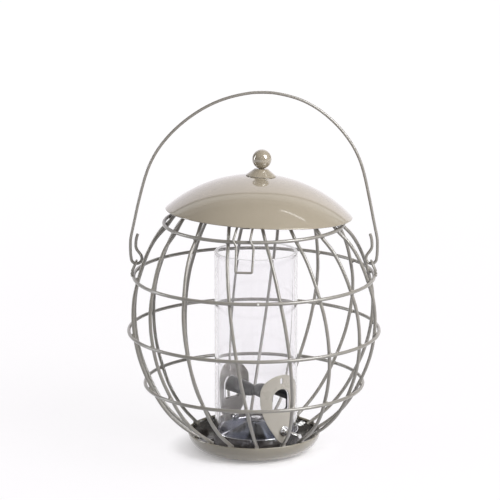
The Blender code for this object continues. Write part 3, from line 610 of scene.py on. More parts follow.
def flowing(points, steps=CURVE_STEPS):
    """A smooth curve through the points (centripetal Catmull-Rom)."""
    points = [Vector(point) for point in points]
    ends = [points[0] * 2 - points[1]] + points + [points[-1] * 2 - points[-2]]
    line = []
    for a, b, c, d in zip(ends, ends[1:], ends[2:], ends[3:]):
        t1 = sqrt((b - a).length)
        t2 = t1 + sqrt((c - b).length)
        t3 = t2 + sqrt((d - c).length)
        for i in range(steps):
            t = t1 + (t2 - t1) * i / steps
            abc = a.lerp(b, t / t1).lerp(b.lerp(c, i / steps), t / t2)
            bcd = b.lerp(c, i / steps).lerp(c.lerp(d, (t - t2) / (t3 - t2)), (t - t1) / (t3 - t1))
            line.append(abc.lerp(bcd, i / steps))
    line.append(points[-1])
    return line


def hoop(work, centre, side, other, radius, count=WIRE_SIDES):
    """Points round a wire, in the plane of two directions."""
    return [work.verts.new(centre + (side * cos(angle) + other * sin(angle)) * radius)
            for angle in around(count)]


def swept(points, diameter, sides=WIRE_SIDES):
    """A round wire along the points, its cut ends slightly rounded."""
    points = [Vector(point) for point in points]
    radius = diameter / 2
    spots = []
    for before, point, after in zip(points[:1] + points, points, points[1:] + points[-1:]):
        spots.append((point, (after - before).normalized(), 1.0))
    (start, heading, _), (end, onward, _) = spots[0], spots[-1]
    burr = radius * BURR_SHARE
    spots[:1] = [(start, heading, BURR_END_SHARE), (start + heading * burr, heading, 1.0)]
    spots[-1:] = [(end - onward * burr, onward, 1.0), (end, onward, BURR_END_SHARE)]
    work = bmesh.new()
    side = heading.orthogonal().normalized()
    rows = []
    for point, tangent, share in spots:
        side = heading.rotation_difference(tangent) @ side
        side = (side - tangent * side.dot(tangent)).normalized()
        heading = tangent
        rows.append(hoop(work, point, side, tangent.cross(side), radius * share, sides))
    skin(work, rows)
    work.faces.new(rows[0])
    work.faces.new(rows[-1])
    return finished(work)


def flat(outlines, thickness, edge=0.0):
    """A plate in the XY plane with eased edges; inner outlines become holes."""
    curve = set_up(bpy.data.curves.new("flat", "CURVE"), {
        "dimensions": "2D", "fill_mode": "BOTH", "extrude": thickness / 2 - edge,
        "bevel_depth": edge, "bevel_resolution": 2, "offset": -edge})
    for outline in outlines:
        line = curve.splines.new("POLY")
        line.use_cyclic_u = True
        line.points.add(len(outline) - 1)
        for spot, (x, y) in zip(line.points, outline):
            spot.co = (x, y, 0, 1)
    work = bmesh.new()
    work.from_mesh(evaluated(linked("flat", curve)))
    return finished(work)


def bar(sizes, turn, height):
    """A block that cuts a driver's slot, turned about Z."""
    length, width, depth = sizes
    made = flat([[(x * length / 2, y * width / 2) for x, y in ((-1, -1), (1, -1), (1, 1), (-1, 1))]], depth)
    made.transform(place((0, 0, turn), (0, 0, height)))
    return made


def sliced(work, spot, normal, clear=False):
    """Cut all faces along a plane."""
    bmesh.ops.bisect_plane(work, geom=work.verts[:] + work.edges[:] + work.faces[:], dist=MERGE,
                           plane_co=spot, plane_no=normal, clear_outer=clear)


def cylinder(radius, length):
    half = length / 2
    return turned([(0, half), (radius, half), (radius, -half), (0, -half)], SMALL_STEPS)


def polygon(radius, sides):
    """Corners of a regular polygon; the radius is that of its flats."""
    corner = radius / cos(pi / sides)
    return [(corner * cos(angle), corner * sin(angle)) for angle in around(sides)]


def on_azimuth(radius, height, azimuth):
    angle = radians(azimuth)
    return Vector((radius * sin(angle), -radius * cos(angle), height))


def hex_nut(radius, bore, thickness):
    """A six sided nut with turned off corners."""
    half = thickness / 2
    corner = radius / cos(pi / 6)
    wide, past = corner * NUT_CUTTER_SHARES[0], half * NUT_CUTTER_SHARES[1]
    land = radius * NUT_LAND_SHARE
    brow = corner * NUT_CORNER_SHARE
    slope = thickness * NUT_CHAMFER_SHARE
    ring = [(wide, past), (wide, -past), (land, -past), (land, -half), (brow, slope - half),
            (brow, half - slope), (land, half), (land, past)]
    body = flat([polygon(radius, 6), polygon(bore, SMALL_STEPS)], thickness)
    return cut(body, [turned(ring, SMALL_STEPS)])


def threads(radius, start, end):
    """The grooves of a threaded stretch, from its start to its end."""
    points = []
    step = copysign(THREAD_PITCH, end - start)
    for i in range(int(abs(start - end) / THREAD_PITCH)):
        at = start + step * i
        root, crest = (at + step * share for share in THREAD_SHARES)
        points += [(radius, at), (radius - THREAD_DEPTH, root), (radius, crest)]
    return points


def threaded_tip(radius, tip, lead, end):
    """The profile of a threaded end, down from its tip; the lead is a share of its radius."""
    return ([(0, tip), (radius * TIP_SHARE, tip), (radius, tip - radius * lead)]
            + threads(radius, tip - radius * (lead + TIP_LAND_SHARE), end))


# Cage

def across(step):
    return Vector((step.y, -step.x)).normalized()


def tray_section(share):
    """A point of the tray's outside and its outward direction, from foot to rim."""
    angle = pi / 2 * share
    reach = TRAY_RIM_RADIUS - TRAY_FOOT_RADIUS
    point = Vector((TRAY_FOOT_RADIUS + reach * sin(angle), TRAY_HEIGHT * (1 - cos(angle))))
    outward = Vector((TRAY_HEIGHT * sin(angle), -reach * cos(angle))).normalized()
    return point, outward


def rib_stations():
    """The points of a rib's centre line from its foot in the tray to its tail under the lid."""
    wall, _ = tray_section(1)
    line = [Vector(point) for point in RIB_LINE]
    edge = Vector((wall.x - TRAY_SHEET - TRAY_FACETS, wall.y))
    rim = edge - across(line[0] - edge) * (WIRE / 2 + GAP)
    foot = rim + (rim - line[0]).normalized() * RIB_FOOT
    outward = Vector((TOP_RADIUS, sqrt(TOP_REACH ** 2 - TOP_RADIUS ** 2))) / TOP_REACH
    top = Vector((0, LID_CENTRE)) + outward * (TOP_REACH - WIRE - GAP)
    bow = (line[-1] + top) / 2 + across(top - line[-1]) * TOP_BOW
    tail = top + Vector((-outward.y, outward.x)) * RIB_TAIL
    return [foot, rim] + line + [bow, top, tail]


STATIONS = rib_stations()
FIRST = len(STATIONS) - len(RIB_LINE) - 3
CROSSINGS = [(name, FIRST + number) for name, number in RING_STATIONS] + [("top_ring", len(STATIONS) - 2)]


def ring_centre(i):
    """The (radius, height) of a ring's wire that lies outside the ribs at station i, and outwards there."""
    outward = across((STATIONS[i] - STATIONS[i - 1]).normalized()
                     + (STATIONS[i + 1] - STATIONS[i]).normalized())
    return STATIONS[i] + outward * (WIRE + GAP), outward


CENTRES = {name: ring_centre(i)[0] for name, i in CROSSINGS}
SHOULDER_RADIUS, SHOULDER_HEIGHT = CENTRES["shoulder_ring"]
UPPER_RADIUS, UPPER_HEIGHT = CENTRES["upper_ring"]
CLIP_PIVOT_RADIUS = TOP_RADIUS + (UPPER_RADIUS - TOP_RADIUS) * CLIP_PIVOT_SHARE
BAIL_PIVOT_HEIGHT = SHOULDER_HEIGHT + BAIL_PIVOT_RISE
EYELET_STAND = (WIRE / 2 + EYELET_WIRE / 2 + GAP) * sqrt(1 / 2)
EYELET_FOOT = Vector((SHOULDER_RADIUS + EYELET_STAND, SHOULDER_HEIGHT + EYELET_STAND))
EYELET_TOP = BAIL_PIVOT_HEIGHT + BAIL_WIRE / 2 + GAP + EYELET_WIRE / 2
EYELET_LENGTH = (EYELET_TOP - EYELET_FOOT.y) / cos(radians(EYELET_LEAN))
BAIL_PIVOT_HALF = EYELET_FOOT.x - EYELET_LENGTH * sin(radians(EYELET_LEAN))


def rib_turns():
    """How far round the cage each station of a rib has turned, in degrees, none at the equator."""
    height = CENTRES["equator_ring"].y
    equator = min(range(len(STATIONS)), key=lambda i: abs(STATIONS[i].y - height))
    turns = [0.0]
    for low, high in zip(STATIONS, STATIONS[1:]):
        step = (high - low).length * tan(radians(RIB_SLANT)) / ((low.x + high.x) / 2)
        turns.append(turns[-1] - degrees(step))
    return [turn - turns[equator] for turn in turns]


TURNS = rib_turns()


def bead(work, centre, axes, sizes, seed):
    """One weld bead: an uneven lump along the given axes."""
    made = bmesh.ops.create_icosphere(work, subdivisions=3, radius=1)
    shift = Vector([seed * part for part in BEAD_SHIFT])
    for vert in made["verts"]:
        local = vert.co * (1 + BEAD_LUMP * noise.noise(vert.co * BEAD_GRAIN + shift))
        vert.co = sum((axis * size * part for axis, size, part in zip(axes, sizes, local)), centre)


def round_ring(name, centre):
    """A ring of wire with the slight swelling of its butt weld."""
    work = bmesh.new()
    seam = radians(SEAM_AZIMUTH[name] - 90)
    rows = []
    for i in range(RING_STEPS):
        angle = seam + tau * i / RING_STEPS
        away = min(i, RING_STEPS - i) * tau / RING_STEPS * centre.x
        swell = 1 + SEAM_SWELL * exp(-(away / SEAM_REACH) ** 2)
        heading = Vector((cos(angle), sin(angle), 0))
        rows.append(hoop(work, heading * centre.x + UP * centre.y, heading, UP, WIRE / 2 * swell))
    skin(work, rows + rows[:1])
    return finished(work)


def make_rib(number, azimuth, welds):
    """A slanted rib, with a weld bead on each ring and one in the tray's rim."""
    line = [on_azimuth(point.x, point.y, azimuth + turn) for point, turn in zip(STATIONS, TURNS)]
    add_piece(f"wire_rib_{number:02d}", swept(flowing(line), WIRE), WIRE_ENAMEL_SHADED, f"rib_{number:02d}")
    for order, (_, i) in enumerate(CROSSINGS):
        _, flat_out = ring_centre(i)
        turn = azimuth + TURNS[i]
        outward = on_azimuth(flat_out.x, flat_out.y, turn)
        round_way = on_azimuth(1, 0, turn + 90)
        rise = outward.cross(round_way).normalized()
        bead(welds, line[i] + outward * (WIRE + GAP) / 2, (round_way, rise, outward), BEAD,
             number * BEADS_PER_RIB + order)
    turn = azimuth + TURNS[1]
    away = on_azimuth(1, 0, turn)
    bead(welds, line[1] + away * (WIRE + GAP) / 2 - UP * RIM_BEAD_DROP,
         (on_azimuth(1, 0, turn + 90), UP, away), RIM_BEAD, number * BEADS_PER_RIB + RIM_SEED)


def make_cage():
    for name, centre in CENTRES.items():
        add_piece("wire_" + name, round_ring(name, centre), WIRE_ENAMEL_SHADED, name)
    welds = bmesh.new()
    for number, azimuth in enumerate(RIB_AZIMUTHS, 1):
        make_rib(number, azimuth, welds)
    add_piece("weld_beads", finished(welds), WIRE_ENAMEL_SHADED)
    mark = bmesh.new()
    turn = SEAM_AZIMUTH["shoulder_ring"]
    bead(mark, on_azimuth(SHOULDER_RADIUS + WIRE / 2 * MARK_OUT_SHARE, SHOULDER_HEIGHT + MARK_RISE, turn),
         (on_azimuth(1, 0, turn + 90), UP, on_azimuth(1, 0, turn)), MARK, MARK_SEED)
    add_piece("weld_mark", finished(mark), MARK_STEEL)


# Tray and base

def make_tray():
    sections = [tray_section(i / TRAY_STEPS) for i in range(TRAY_STEPS + 1)]
    outer = [wall for wall, _ in sections]
    inner = [wall - outward * TRAY_SHEET for wall, outward in sections]
    lip = (outer[-1] + inner[-1]) / 2 - Vector((0, TRAY_SHEET / 2))
    outer[-2:] = [lip + Vector((TRAY_SHEET / 2, 0))]
    inner[-2:] = [lip - Vector((TRAY_SHEET / 2, 0))]
    profile = outer[::-1] + [(0, 0), (0, TRAY_SHEET)] + inner
    profile += arc(lip, TRAY_SHEET / 2, 180, 0, LIP_STEPS)[1:-1]
    slope = (BOLT_HEAD_RADIUS - BOLT_DIAMETER / 2) / BOLT_HEAD_RISE
    over = GAP * 2
    wide = BOLT_HEAD_RADIUS + GAP + slope * (GAP + over)
    narrow = wide - slope * (TRAY_SHEET + over * 2)
    top = TRAY_SHEET + over
    hole = turned([(0, top), (narrow, top), (wide, -over), (0, -over)], SMALL_STEPS)
    hole.transform(BASE)
    tray = add_piece("seed_tray", cut(turned(profile), [hole]), SHADED_ENAMEL, "tray")
    # Faces of the tray's inside that turn up and inwards take the darker enamel: painted shade
    tray.data.materials.append(TRAY_INSIDE_SHADE[0])
    for face in tray.data.polygons:
        middle = Vector((face.center.x, face.center.y, 0)).normalized()
        if face.normal.z - face.normal.dot(middle) > TRAY_INSIDE_SHADE_TURN and face.center.z < TRAY_HEIGHT - TRAY_SHEET:
            face.material_index = 1


def make_base():
    """The spacer, cup, cone, bolt and nut that hold the tube to the tray."""
    bore = BOLT_DIAMETER / 2 + GAP
    low = TRAY_SHEET + GAP
    high = CUP_FLOOR - GAP
    spacer = [(bore, high)] + eased([(bore, high), (SPACER_RADIUS, high), (SPACER_RADIUS, low),
                                     (bore, low)], SPACER_EASE)[1:]
    add_piece("rubber_spacer", turned(supported(spacer)), RUBBER, "base_spacer", BASE)
    lip = TUBE_RADIUS + GAP
    edge = lip + CUP_SHEET
    floor = CUP_FLOOR + CUP_SHEET
    rim = CUP_FLOOR + CUP_DEPTH - CUP_SHEET / 2
    cup = arc((lip + CUP_SHEET / 2, rim), CUP_SHEET / 2, 180, 0)
    cup += eased([(edge, rim), (edge, CUP_FLOOR), (bore, CUP_FLOOR)], CUP_EASE, BEND_STEPS)[1:]
    cup += [(bore, floor)] + eased([(bore, floor), (lip, floor), (lip, rim)], CUP_INNER_EASE)[1:]
    add_piece("steel_cup", turned(supported(cup)), CUP_STEEL, "tube_cup", BASE)
    foot = floor + GAP
    wide = TUBE_BORE - GAP
    top = foot + CONE_RISE
    cone = eased([(bore, top), (CONE_TOP_RADIUS, top), (wide, foot)], CONE_EASE, BEND_STEPS)
    cone += eased([(wide - CONE_SHEET, foot), (CONE_TOP_RADIUS - CONE_SHEET, top - CONE_SHEET),
                   (bore, top - CONE_SHEET)], CONE_EASE, BEND_STEPS)
    add_piece("steel_cone", turned(supported(cone)), CONE_STEEL_DARK_REFLECTION, "seed_cone", BASE)
    make_bolt(bore, top + GAP)


def make_bolt(bore, top):
    """The slotted bolt and its nut, which stands on the cone's top."""
    shank = BOLT_DIAMETER / 2
    profile = threaded_tip(shank, top + NUT_THICKNESS + GAP * 2, BOLT_LEAD_SHARE, top)
    profile += [(shank, GAP + BOLT_HEAD_RISE), (BOLT_HEAD_RADIUS, GAP), (0, GAP)]
    bolt = cut(turned(profile, SMALL_STEPS), [bar(BOLT_SLOT, BOLT_SLOT_TURN, GAP)])
    add_piece("steel_bolt", bolt, STEEL, "base_bolt", BASE)
    add_piece("steel_nut", hex_nut(NUT_RADIUS, bore, NUT_THICKNESS), STEEL, "base_nut",
              BASE @ lifted(top + NUT_THICKNESS / 2))


# Tube and ports

def plate_outline():
    half = arc((0, PLATE_TOP - PLATE_ARCH), PLATE_HALF_WIDTH, 90, 0, ARCH_STEPS, PLATE_ARCH)
    side = [Vector((*point, 0)) for point in half[-2:]]
    side += [Vector((PLATE_HALF_WIDTH * wide, PLATE_TOP - PLATE_HEIGHT * drop, 0))
             for wide, drop in PLATE_SIDE_SHARES]
    tip = Vector((0, PLATE_TOP - PLATE_HEIGHT, 0))
    side += [tip, Vector((-side[-1].x, side[-1].y, 0))]
    half += [(point.x, point.y) for point in flowing(side, FINE_STEPS)[FINE_STEPS + 1:-FINE_STEPS]]
    half[-1] = (0, tip.y)
    return half + [(-x, y) for x, y in half[-2:0:-1]]


def opening_outline():
    """An arched door with rounded lower corners."""
    aside = OPENING_HALF_WIDTH - OPENING_CORNER
    low = OPENING_TOP - OPENING_HEIGHT + OPENING_CORNER
    return (arc((0, OPENING_TOP - OPENING_HALF_WIDTH), OPENING_HALF_WIDTH, 0, 180, DOOR_STEPS)
            + arc((-aside, low), OPENING_CORNER, 180, 270, LIP_STEPS)
            + arc((aside, low), OPENING_CORNER, 270, 360, LIP_STEPS))


def slot_outline():
    straight = (SLOT_LENGTH - SLOT_WIDTH) / 2
    part = 90 / (SLOT_STEPS + 1)
    return (arc((0, SLOT_HEIGHT + straight), SLOT_WIDTH / 2, part, 180 - part, SLOT_STEPS)
            + arc((0, SLOT_HEIGHT - straight), SLOT_WIDTH / 2, 180 + part, 360 - part, SLOT_STEPS))


def bent_plate(turn):
    """The teardrop plate, rolled round an upright axis, its inner face at the stand-off."""
    aside = (PLATE_BEND + PLATE_SHEET / 2) * sin(radians(turn))
    hole = [(aside + x, PERCH_HEIGHT + y) for x, y in polygon(PERCH_DIAMETER / 2 + GAP, SMALL_STEPS)]
    work = bmesh.new()
    work.from_mesh(flat([plate_outline(), opening_outline(), slot_outline(), hole], PLATE_SHEET, SHEET_EDGE))
    for i in range(1, PLATE_STRIPS):
        sliced(work, (PLATE_HALF_WIDTH * (2 * i / PLATE_STRIPS - 1), 0, 0), (1, 0, 0))
    for vert in work.verts:
        angle = asin(vert.co.x / PLATE_BEND)
        reach = PLATE_BEND + vert.co.z + PLATE_SHEET / 2
        vert.co = (reach * cos(angle), reach * sin(angle), vert.co.y)
    bmesh.ops.triangulate(work, faces=[face for face in work.faces if len(face.verts) > 4])
    return finished(work)


def blunted(point, width, reach):
    """A point of a quarter sphere moved out to the long blunt hood."""
    out = hypot(point.y, point.z)
    angle = atan2(max(-point.x, 0), out)
    swell = cos(angle) ** HOOD_BLUNT * width / out if out > MERGE else 0
    return (-reach * sin(angle) ** HOOD_BLUNT, point.y * swell, point.z * swell)


def hood_shell(reach):
    """A quarter of a long blunt egg with straight skirts, open below and at its mouth."""
    width = OPENING_HALF_WIDTH - HOOD_FIT
    work = bmesh.new()
    bmesh.ops.create_uvsphere(work, u_segments=HOOD_STEPS * 2, v_segments=HOOD_STEPS, radius=width,
                              matrix=Matrix.Rotation(pi / 2, 4, "Y"))
    for normal in ((1, 0, 0), (0, 0, -1)):
        sliced(work, (0, 0, 0), normal, clear=True)
    for vert in work.verts:
        vert.co = blunted(vert.co, width, reach)
    rim = [edge for edge in work.edges if all(abs(vert.co.z) < MERGE for vert in edge.verts)]
    for part in bmesh.ops.extrude_edge_only(work, edges=rim)["geom"]:
        if isinstance(part, bmesh.types.BMVert):
            part.co.z -= HOOD_SKIRT
    return modified(finished(work), [("SOLIDIFY", {"thickness": HOOD_SHEET, "offset": -1}),
                                     bevelled(HOOD_SHEET * HOOD_EDGE_SHARE, segments=2, angle=55)])


def make_perch(side, way):
    """A perch, its nut inside the tube and the washer behind the plate."""
    seat = way @ place((0, 90, 0), (0, 0, PERCH_HEIGHT))
    rod = PERCH_DIAMETER / 2
    face = PLATE_BEND + PLATE_SHEET + GAP
    inside = TUBE_BORE - GAP * 2
    knob = PERCH_KNOB_RADIUS
    end = face + PERCH_LENGTH
    collar = face + PERCH_COLLAR
    hub = collar + PERCH_HUB
    back = inside - PERCH_NUT - GAP * 2
    neck, rise = (end - knob * share for share in PERCH_NECK_SHARES)
    low, groove, narrow = (rod * share for share in PERCH_BACK_SHARES)
    tip = [(knob * out, end - knob * down) for out, down in PERCH_TIP_SHARES] + [(rod, neck), (rod, hub)]
    profile = eased(tip, PERCH_EASE, FINE_STEPS)[:-1]
    profile += eased([(rod, rise), (rod, hub), (PERCH_HUB_RADIUS, hub - rod * PERCH_HUB_SHARE),
                      (PERCH_HUB_RADIUS, collar), (PERCH_COLLAR_RADIUS, collar), (PERCH_COLLAR_RADIUS, face),
                      (rod, face)], PERCH_EASE, FINE_STEPS)
    profile += [(rod, face - GAP * 2)] + threads(rod, inside, back + low)
    profile += [(rod, back + groove), (narrow, back), (0, back)]
    add_piece(f"steel_perch_{side}", turned(profile, SMALL_STEPS), STEEL, f"perch_{side}", seat)
    bore = rod + GAP
    add_piece(f"steel_perch_nut_{side}", hex_nut(PERCH_NUT_RADIUS, bore, PERCH_NUT), STEEL,
              f"perch_nut_{side}", seat @ lifted(inside - PERCH_NUT / 2))
    near = TUBE_RADIUS + GAP
    far = PLATE_BEND - GAP
    washer = eased([(bore, far), (PERCH_SPACER_RADIUS, far), (PERCH_SPACER_RADIUS, near), (bore, near)],
                   WASHER_EASE)
    add_piece(f"rubber_washer_{side}", turned(washer, SMALL_STEPS), RUBBER, f"perch_spacer_{side}", seat)


def make_port(side, azimuth, drop, turn, past):
    """A port's plate, hood and perch, and the tools that cut its openings in the tube."""
    middle = TUBE_RADIUS - TUBE_WALL / 2
    depth = TUBE_WALL * 4
    port = lifted(-drop) @ place((0, 0, azimuth - 90))
    way = port @ place((0, 0, turn))
    opening = flat([opening_outline()], depth)
    opening.transform(port @ place((90, 0, 90), (middle, 0, 0)))
    bore = cylinder(PERCH_DIAMETER / 2 + GAP, depth)
    bore.transform(way @ place((0, 90, 0), (middle, 0, PERCH_HEIGHT)))
    add_piece(f"port_shield_{side}", bent_plate(turn), PLATE_ENAMEL_LIT, f"port_plate_{side}", BASE @ port)
    mouth = PLATE_BEND - GAP * 2 - OPENING_HALF_WIDTH ** 2 / (2 * PLATE_BEND)
    add_piece(f"seed_hood_{side}", hood_shell(TUBE_RADIUS + past), HOOD, f"port_hood_{side}",
              BASE @ port @ Matrix.Translation((mouth, 0, OPENING_TOP - OPENING_HALF_WIDTH)))
    make_perch(side, BASE @ way)
    return [opening, bore]


def make_tube():
    foot = CUP_FLOOR + CUP_SHEET + GAP
    half_way = (TUBE_RADIUS, (foot + TUBE_TOP) / 2)
    profile = eased([half_way, (TUBE_RADIUS, foot), (TUBE_BORE, foot), (TUBE_BORE, TUBE_TOP),
                     (TUBE_RADIUS, TUBE_TOP), half_way], TUBE_EASE, FINE_STEPS)
    tube = turned(supported(profile)[:-1], TUBE_STEPS)
    tools = [tool for port in PORTS for tool in make_port(*port)]
    piece = add_piece("clear_seed_tube", cut(tube, tools), CLEAR, "seed_tube", BASE)
    piece.data.materials.append(TUBE_END_GLOW[0])
    # The sawn ends at the top and foot take the painted glow
    for face in piece.data.polygons:
        if face.center.z > TUBE_TOP - TUBE_EASE or face.center.z < foot + TUBE_EASE:
            face.material_index = 1


# Lid

LID = place((-LID_LEAN_BACK, LID_LEAN_RIGHT, 0), (0, 0, LID_CENTRE))


def make_dome(bore):
    """The lid's shallow cap with a rolled rim."""
    first = asin(bore / LID_RADIUS)
    last = asin(LID_RIM_RADIUS / LID_RADIUS) - LID_SHEET / 2 / LID_RADIUS
    outer, inner = (arc((0, 0), radius, 90 - degrees(first), 90 - degrees(last), LID_ARC_STEPS)
                    for radius in (LID_RADIUS, LID_INSIDE))
    inner[0] = (bore, inner[0][1])
    middle = LID_RADIUS - LID_SHEET / 2
    rim = arc((middle * sin(last), middle * cos(last)), LID_SHEET / 2,
              90 - degrees(last), -90 - degrees(last), LIP_STEPS)[1:-1]
    add_piece("domed_lid", turned(outer + rim + inner[::-1], LID_STEPS), LID_ENAMEL, "lid_dome", LID, "lid")


def make_lid():
    """The dome, its flared boss, the ball and the screw through them."""
    bore = SCREW_DIAMETER / 2 + GAP
    make_dome(bore)
    seat = sqrt(LID_RADIUS ** 2 - BOSS_RADIUS ** 2) + GAP
    top = LID_RADIUS + BOSS_RISE
    ledge = top + BOSS_CROWN
    rise = ledge - seat
    boss = [(bore, ledge), (BOSS_NECK_RADIUS, ledge)]
    boss += [(BOSS_NECK_RADIUS + (BOSS_RADIUS - BOSS_NECK_RADIUS) * out, ledge - rise * down)
             for out, down in BOSS_SHARES]
    boss = eased(boss, BOSS_EASE, FINE_STEPS)
    crown = LID_RADIUS + GAP
    boss += [(BOSS_RADIUS, seat), (BOSS_RADIUS / 2, crown - BOSS_RADIUS ** 2 / (8 * LID_RADIUS)),
             (bore, crown)]
    add_piece("flared_boss", turned(supported(boss), KNOB_STEPS), LID_ENAMEL, "lid_boss", LID, "lid")
    centre = LID_RADIUS + KNOB_RISE
    foot = top + GAP
    seam = degrees(asin(KNOB_SEAT / KNOB_RADIUS)) - 90
    knob = [(0, centre + KNOB_RADIUS)] + arc((0, centre), KNOB_RADIUS, 90, seam, KNOB_ARC_STEPS)[1:]
    knob += [(KNOB_SEAT, ledge + GAP), (bore, ledge + GAP), (bore, foot + KNOB_BORE), (0, foot + KNOB_BORE)]
    add_piece("ball_knob", turned(knob, KNOB_STEPS), LID_ENAMEL, "lid_knob", LID, "lid")
    under = LID_INSIDE - GAP * 2
    low = under - SCREW_HEAD
    shank = SCREW_DIAMETER / 2
    profile = threaded_tip(shank, foot + KNOB_BORE - GAP, SCREW_LEAD_SHARE, foot)
    profile += [(shank, under), (SCREW_HEAD_RADIUS, under)]
    profile += eased([(SCREW_HEAD_RADIUS * out, low + SCREW_HEAD * up) for out, up in SCREW_HEAD_SHARES],
                     SCREW_EASE, FINE_STEPS)[1:]
    recess = [bar(SCREW_RECESS, turn, low) for turn in SCREW_RECESS_TURNS]
    add_piece("steel_screw", cut(turned(profile, SMALL_STEPS), recess), STEEL, "knob_screw", LID, "lid")


def make_clip(side, azimuth):
    """A bent wire clip, and the bearing under the lid that it turns in."""
    pivot_reach = LID_INSIDE - CLIP_PIVOT_DROP
    pivot = Vector((CLIP_PIVOT_RADIUS, LID_CENTRE + sqrt(pivot_reach ** 2 - CLIP_PIVOT_RADIUS ** 2)))
    knee = Vector((UPPER_RADIUS + CLIP_KNEE_OUT, UPPER_HEIGHT + CLIP_KNEE_UP))
    tip = Vector((CLIP_BAR_RADIUS, CLIP_BAR_HEIGHT))
    jog = knee.lerp(tip, CLIP_JOG_SHARE)
    hinge = place((0, 0, azimuth - 90)) @ Matrix.Translation((pivot.x, 0, pivot.y))
    legs = []
    for sign, shares in ((-1, CLIP_LEFT_SHARES), (1, CLIP_RIGHT_SHARES)):
        leg = [Vector((0, sign * (CLIP_HALF_WIDTH * shares[0] - CLIP_PIN), 0))]
        for spot, share in zip((pivot, knee, jog, tip), shares):
            leg.append(Vector((spot.x - pivot.x, sign * CLIP_HALF_WIDTH * share, spot.y - pivot.y)))
        legs.append(leg)
    line = eased(legs[0] + legs[1][::-1], CLIP_CORNER, CLIP_BEND_STEPS)
    add_piece(f"wire_clip_{side}", swept(line, CLIP_WIRE, BENT_WIRE_SIDES), WIRE_ENAMEL_SHADED, f"clip_{side}",
              hinge, f"clip_{side}")
    top = LID_INSIDE - GAP - (LUG_LENGTH ** 2 + LUG_WIDTH ** 2) / (8 * LID_INSIDE)
    bottom = pivot_reach - LUG_BELOW
    work = bmesh.new()
    bmesh.ops.create_cube(work, size=1, matrix=Matrix.Diagonal((LUG_WIDTH, LUG_LENGTH, top - bottom, 1)))
    block = modified(finished(work), [bevelled(LUG_EDGE, segments=4, angle=60)])
    lean = asin(CLIP_PIVOT_RADIUS / pivot_reach)
    middle = (top + bottom) / 2 - pivot_reach
    block.transform(place((0, degrees(lean), 0), (middle * sin(lean), 0, middle * cos(lean))))
    bore = cylinder(CLIP_WIRE / 2 + GAP, LUG_LENGTH * LUG_BORE_SHARE)
    bore.transform(place((90, 0, 0)))
    add_piece(f"clip_bearing_{side}", cut(block, [bore]), SHADED_ENAMEL, f"clip_lug_{side}", hinge, "lid")


# Bail

def make_bail():
    """The handle, with a hook at each end."""
    hook = [(HOOK_LEG * HOOK_START_SHARES[0], HOOK_CURL * HOOK_START_SHARES[1])]
    hook += arc((0, HOOK_CURL), HOOK_CURL, 0, -180, HOOK_STEPS)
    hook += [(HOOK_LEG * out, HOOK_TIP * up) for out, up in HOOK_TIP_SHARES]
    half = BAIL_PIVOT_HALF + HOOK_LEG
    right = [(BAIL_PIVOT_HALF + out, up) for out, up in hook[::-1]]
    right += [(half * out, BAIL_RISE * up) for out, up in BAIL_ARCH_SHARES]
    line = [(-out, up) for out, up in right] + right[::-1]
    points = [(out + BAIL_LEAN * (max(up, 0) / BAIL_RISE) ** 3, 0, up + BAIL_PIVOT_HEIGHT)
              for out, up in line]
    add_piece("wire_bail", swept(flowing(points, FINE_STEPS), BAIL_WIRE, BENT_WIRE_SIDES), WIRE_ENAMEL_SHADED,
              "bail", None, "bail")


def make_eyelet(name, side):
    """A wire eye on the shoulder ring, with its weld beads."""
    lean = radians(EYELET_LEAN)
    straight = (EYELET_LENGTH - EYELET_HALF_WIDTH) / 2
    line = [(-EYELET_HALF_WIDTH, 0), (-EYELET_HALF_WIDTH, straight)]
    line += arc((0, EYELET_LENGTH - EYELET_HALF_WIDTH), EYELET_HALF_WIDTH, 180, 0, EYELET_STEPS)
    line += [(EYELET_HALF_WIDTH, straight), (EYELET_HALF_WIDTH, 0)]
    points = [Vector((side * (EYELET_FOOT.x - up * sin(lean)), sideways,
                      EYELET_FOOT.y + up * cos(lean))) for sideways, up in line]
    add_piece("wire_" + name, swept(points, EYELET_WIRE), WIRE_ENAMEL_SHADED, name)
    welds = bmesh.new()
    for number, end in enumerate((points[0], points[-1])):
        centre = end.lerp(Vector((side * SHOULDER_RADIUS, end.y, SHOULDER_HEIGHT)), EYELET_BEAD_SHARE)
        bead(welds, centre, Matrix.Identity(3), EYELET_BEAD,
             EYELET_SEED + side * EYELET_SEED_STEP + number)
    add_piece(f"weld_{name}", finished(welds), WIRE_ENAMEL_SHADED)


# Light, floor and camera

def make_camera():
    camera = linked("camera", set_up(bpy.data.cameras.new("camera"), {
        "lens": CAMERA_LENS, "sensor_width": CAMERA_SENSOR, "shift_x": CAMERA_SHIFT}))
    camera.location = CAMERA_SPOT
    camera.rotation_euler = (radians(CAMERA_TILT), 0, 0)
    bpy.context.scene.camera = camera


def softbox(name, azimuth, elevation, distance, width, height, power, mirrored=True, level=False):
    """An area lamp aimed at the middle of the feeder; a level one has its width along X."""
    lamp = linked(name, set_up(bpy.data.lights.new(name, "AREA"), {
        "shape": "RECTANGLE", "size": width, "size_y": height, "energy": power}))
    away = on_azimuth(cos(radians(elevation)), sin(radians(elevation)), azimuth)
    lamp.location = LAMP_AIM + away * distance
    along = Vector((1, 0, 0)) if level else on_azimuth(1, 0, azimuth + 90)
    side = (along - away * along.dot(away)).normalized()
    lamp.rotation_euler = Matrix((side, away.cross(side), away)).transposed().to_euler()
    lamp.visible_glossy = mirrored


def seen_directly(tree):
    """One for a ray from the camera or one that a shiny or clear surface sends on, nothing for light."""
    path = node(tree, "LightPath")
    shine = maths(tree, "MAXIMUM", path.outputs["Is Camera Ray"], path.outputs["Is Glossy Ray"])
    return path, maths(tree, "MAXIMUM", shine, path.outputs["Is Transmission Ray"])


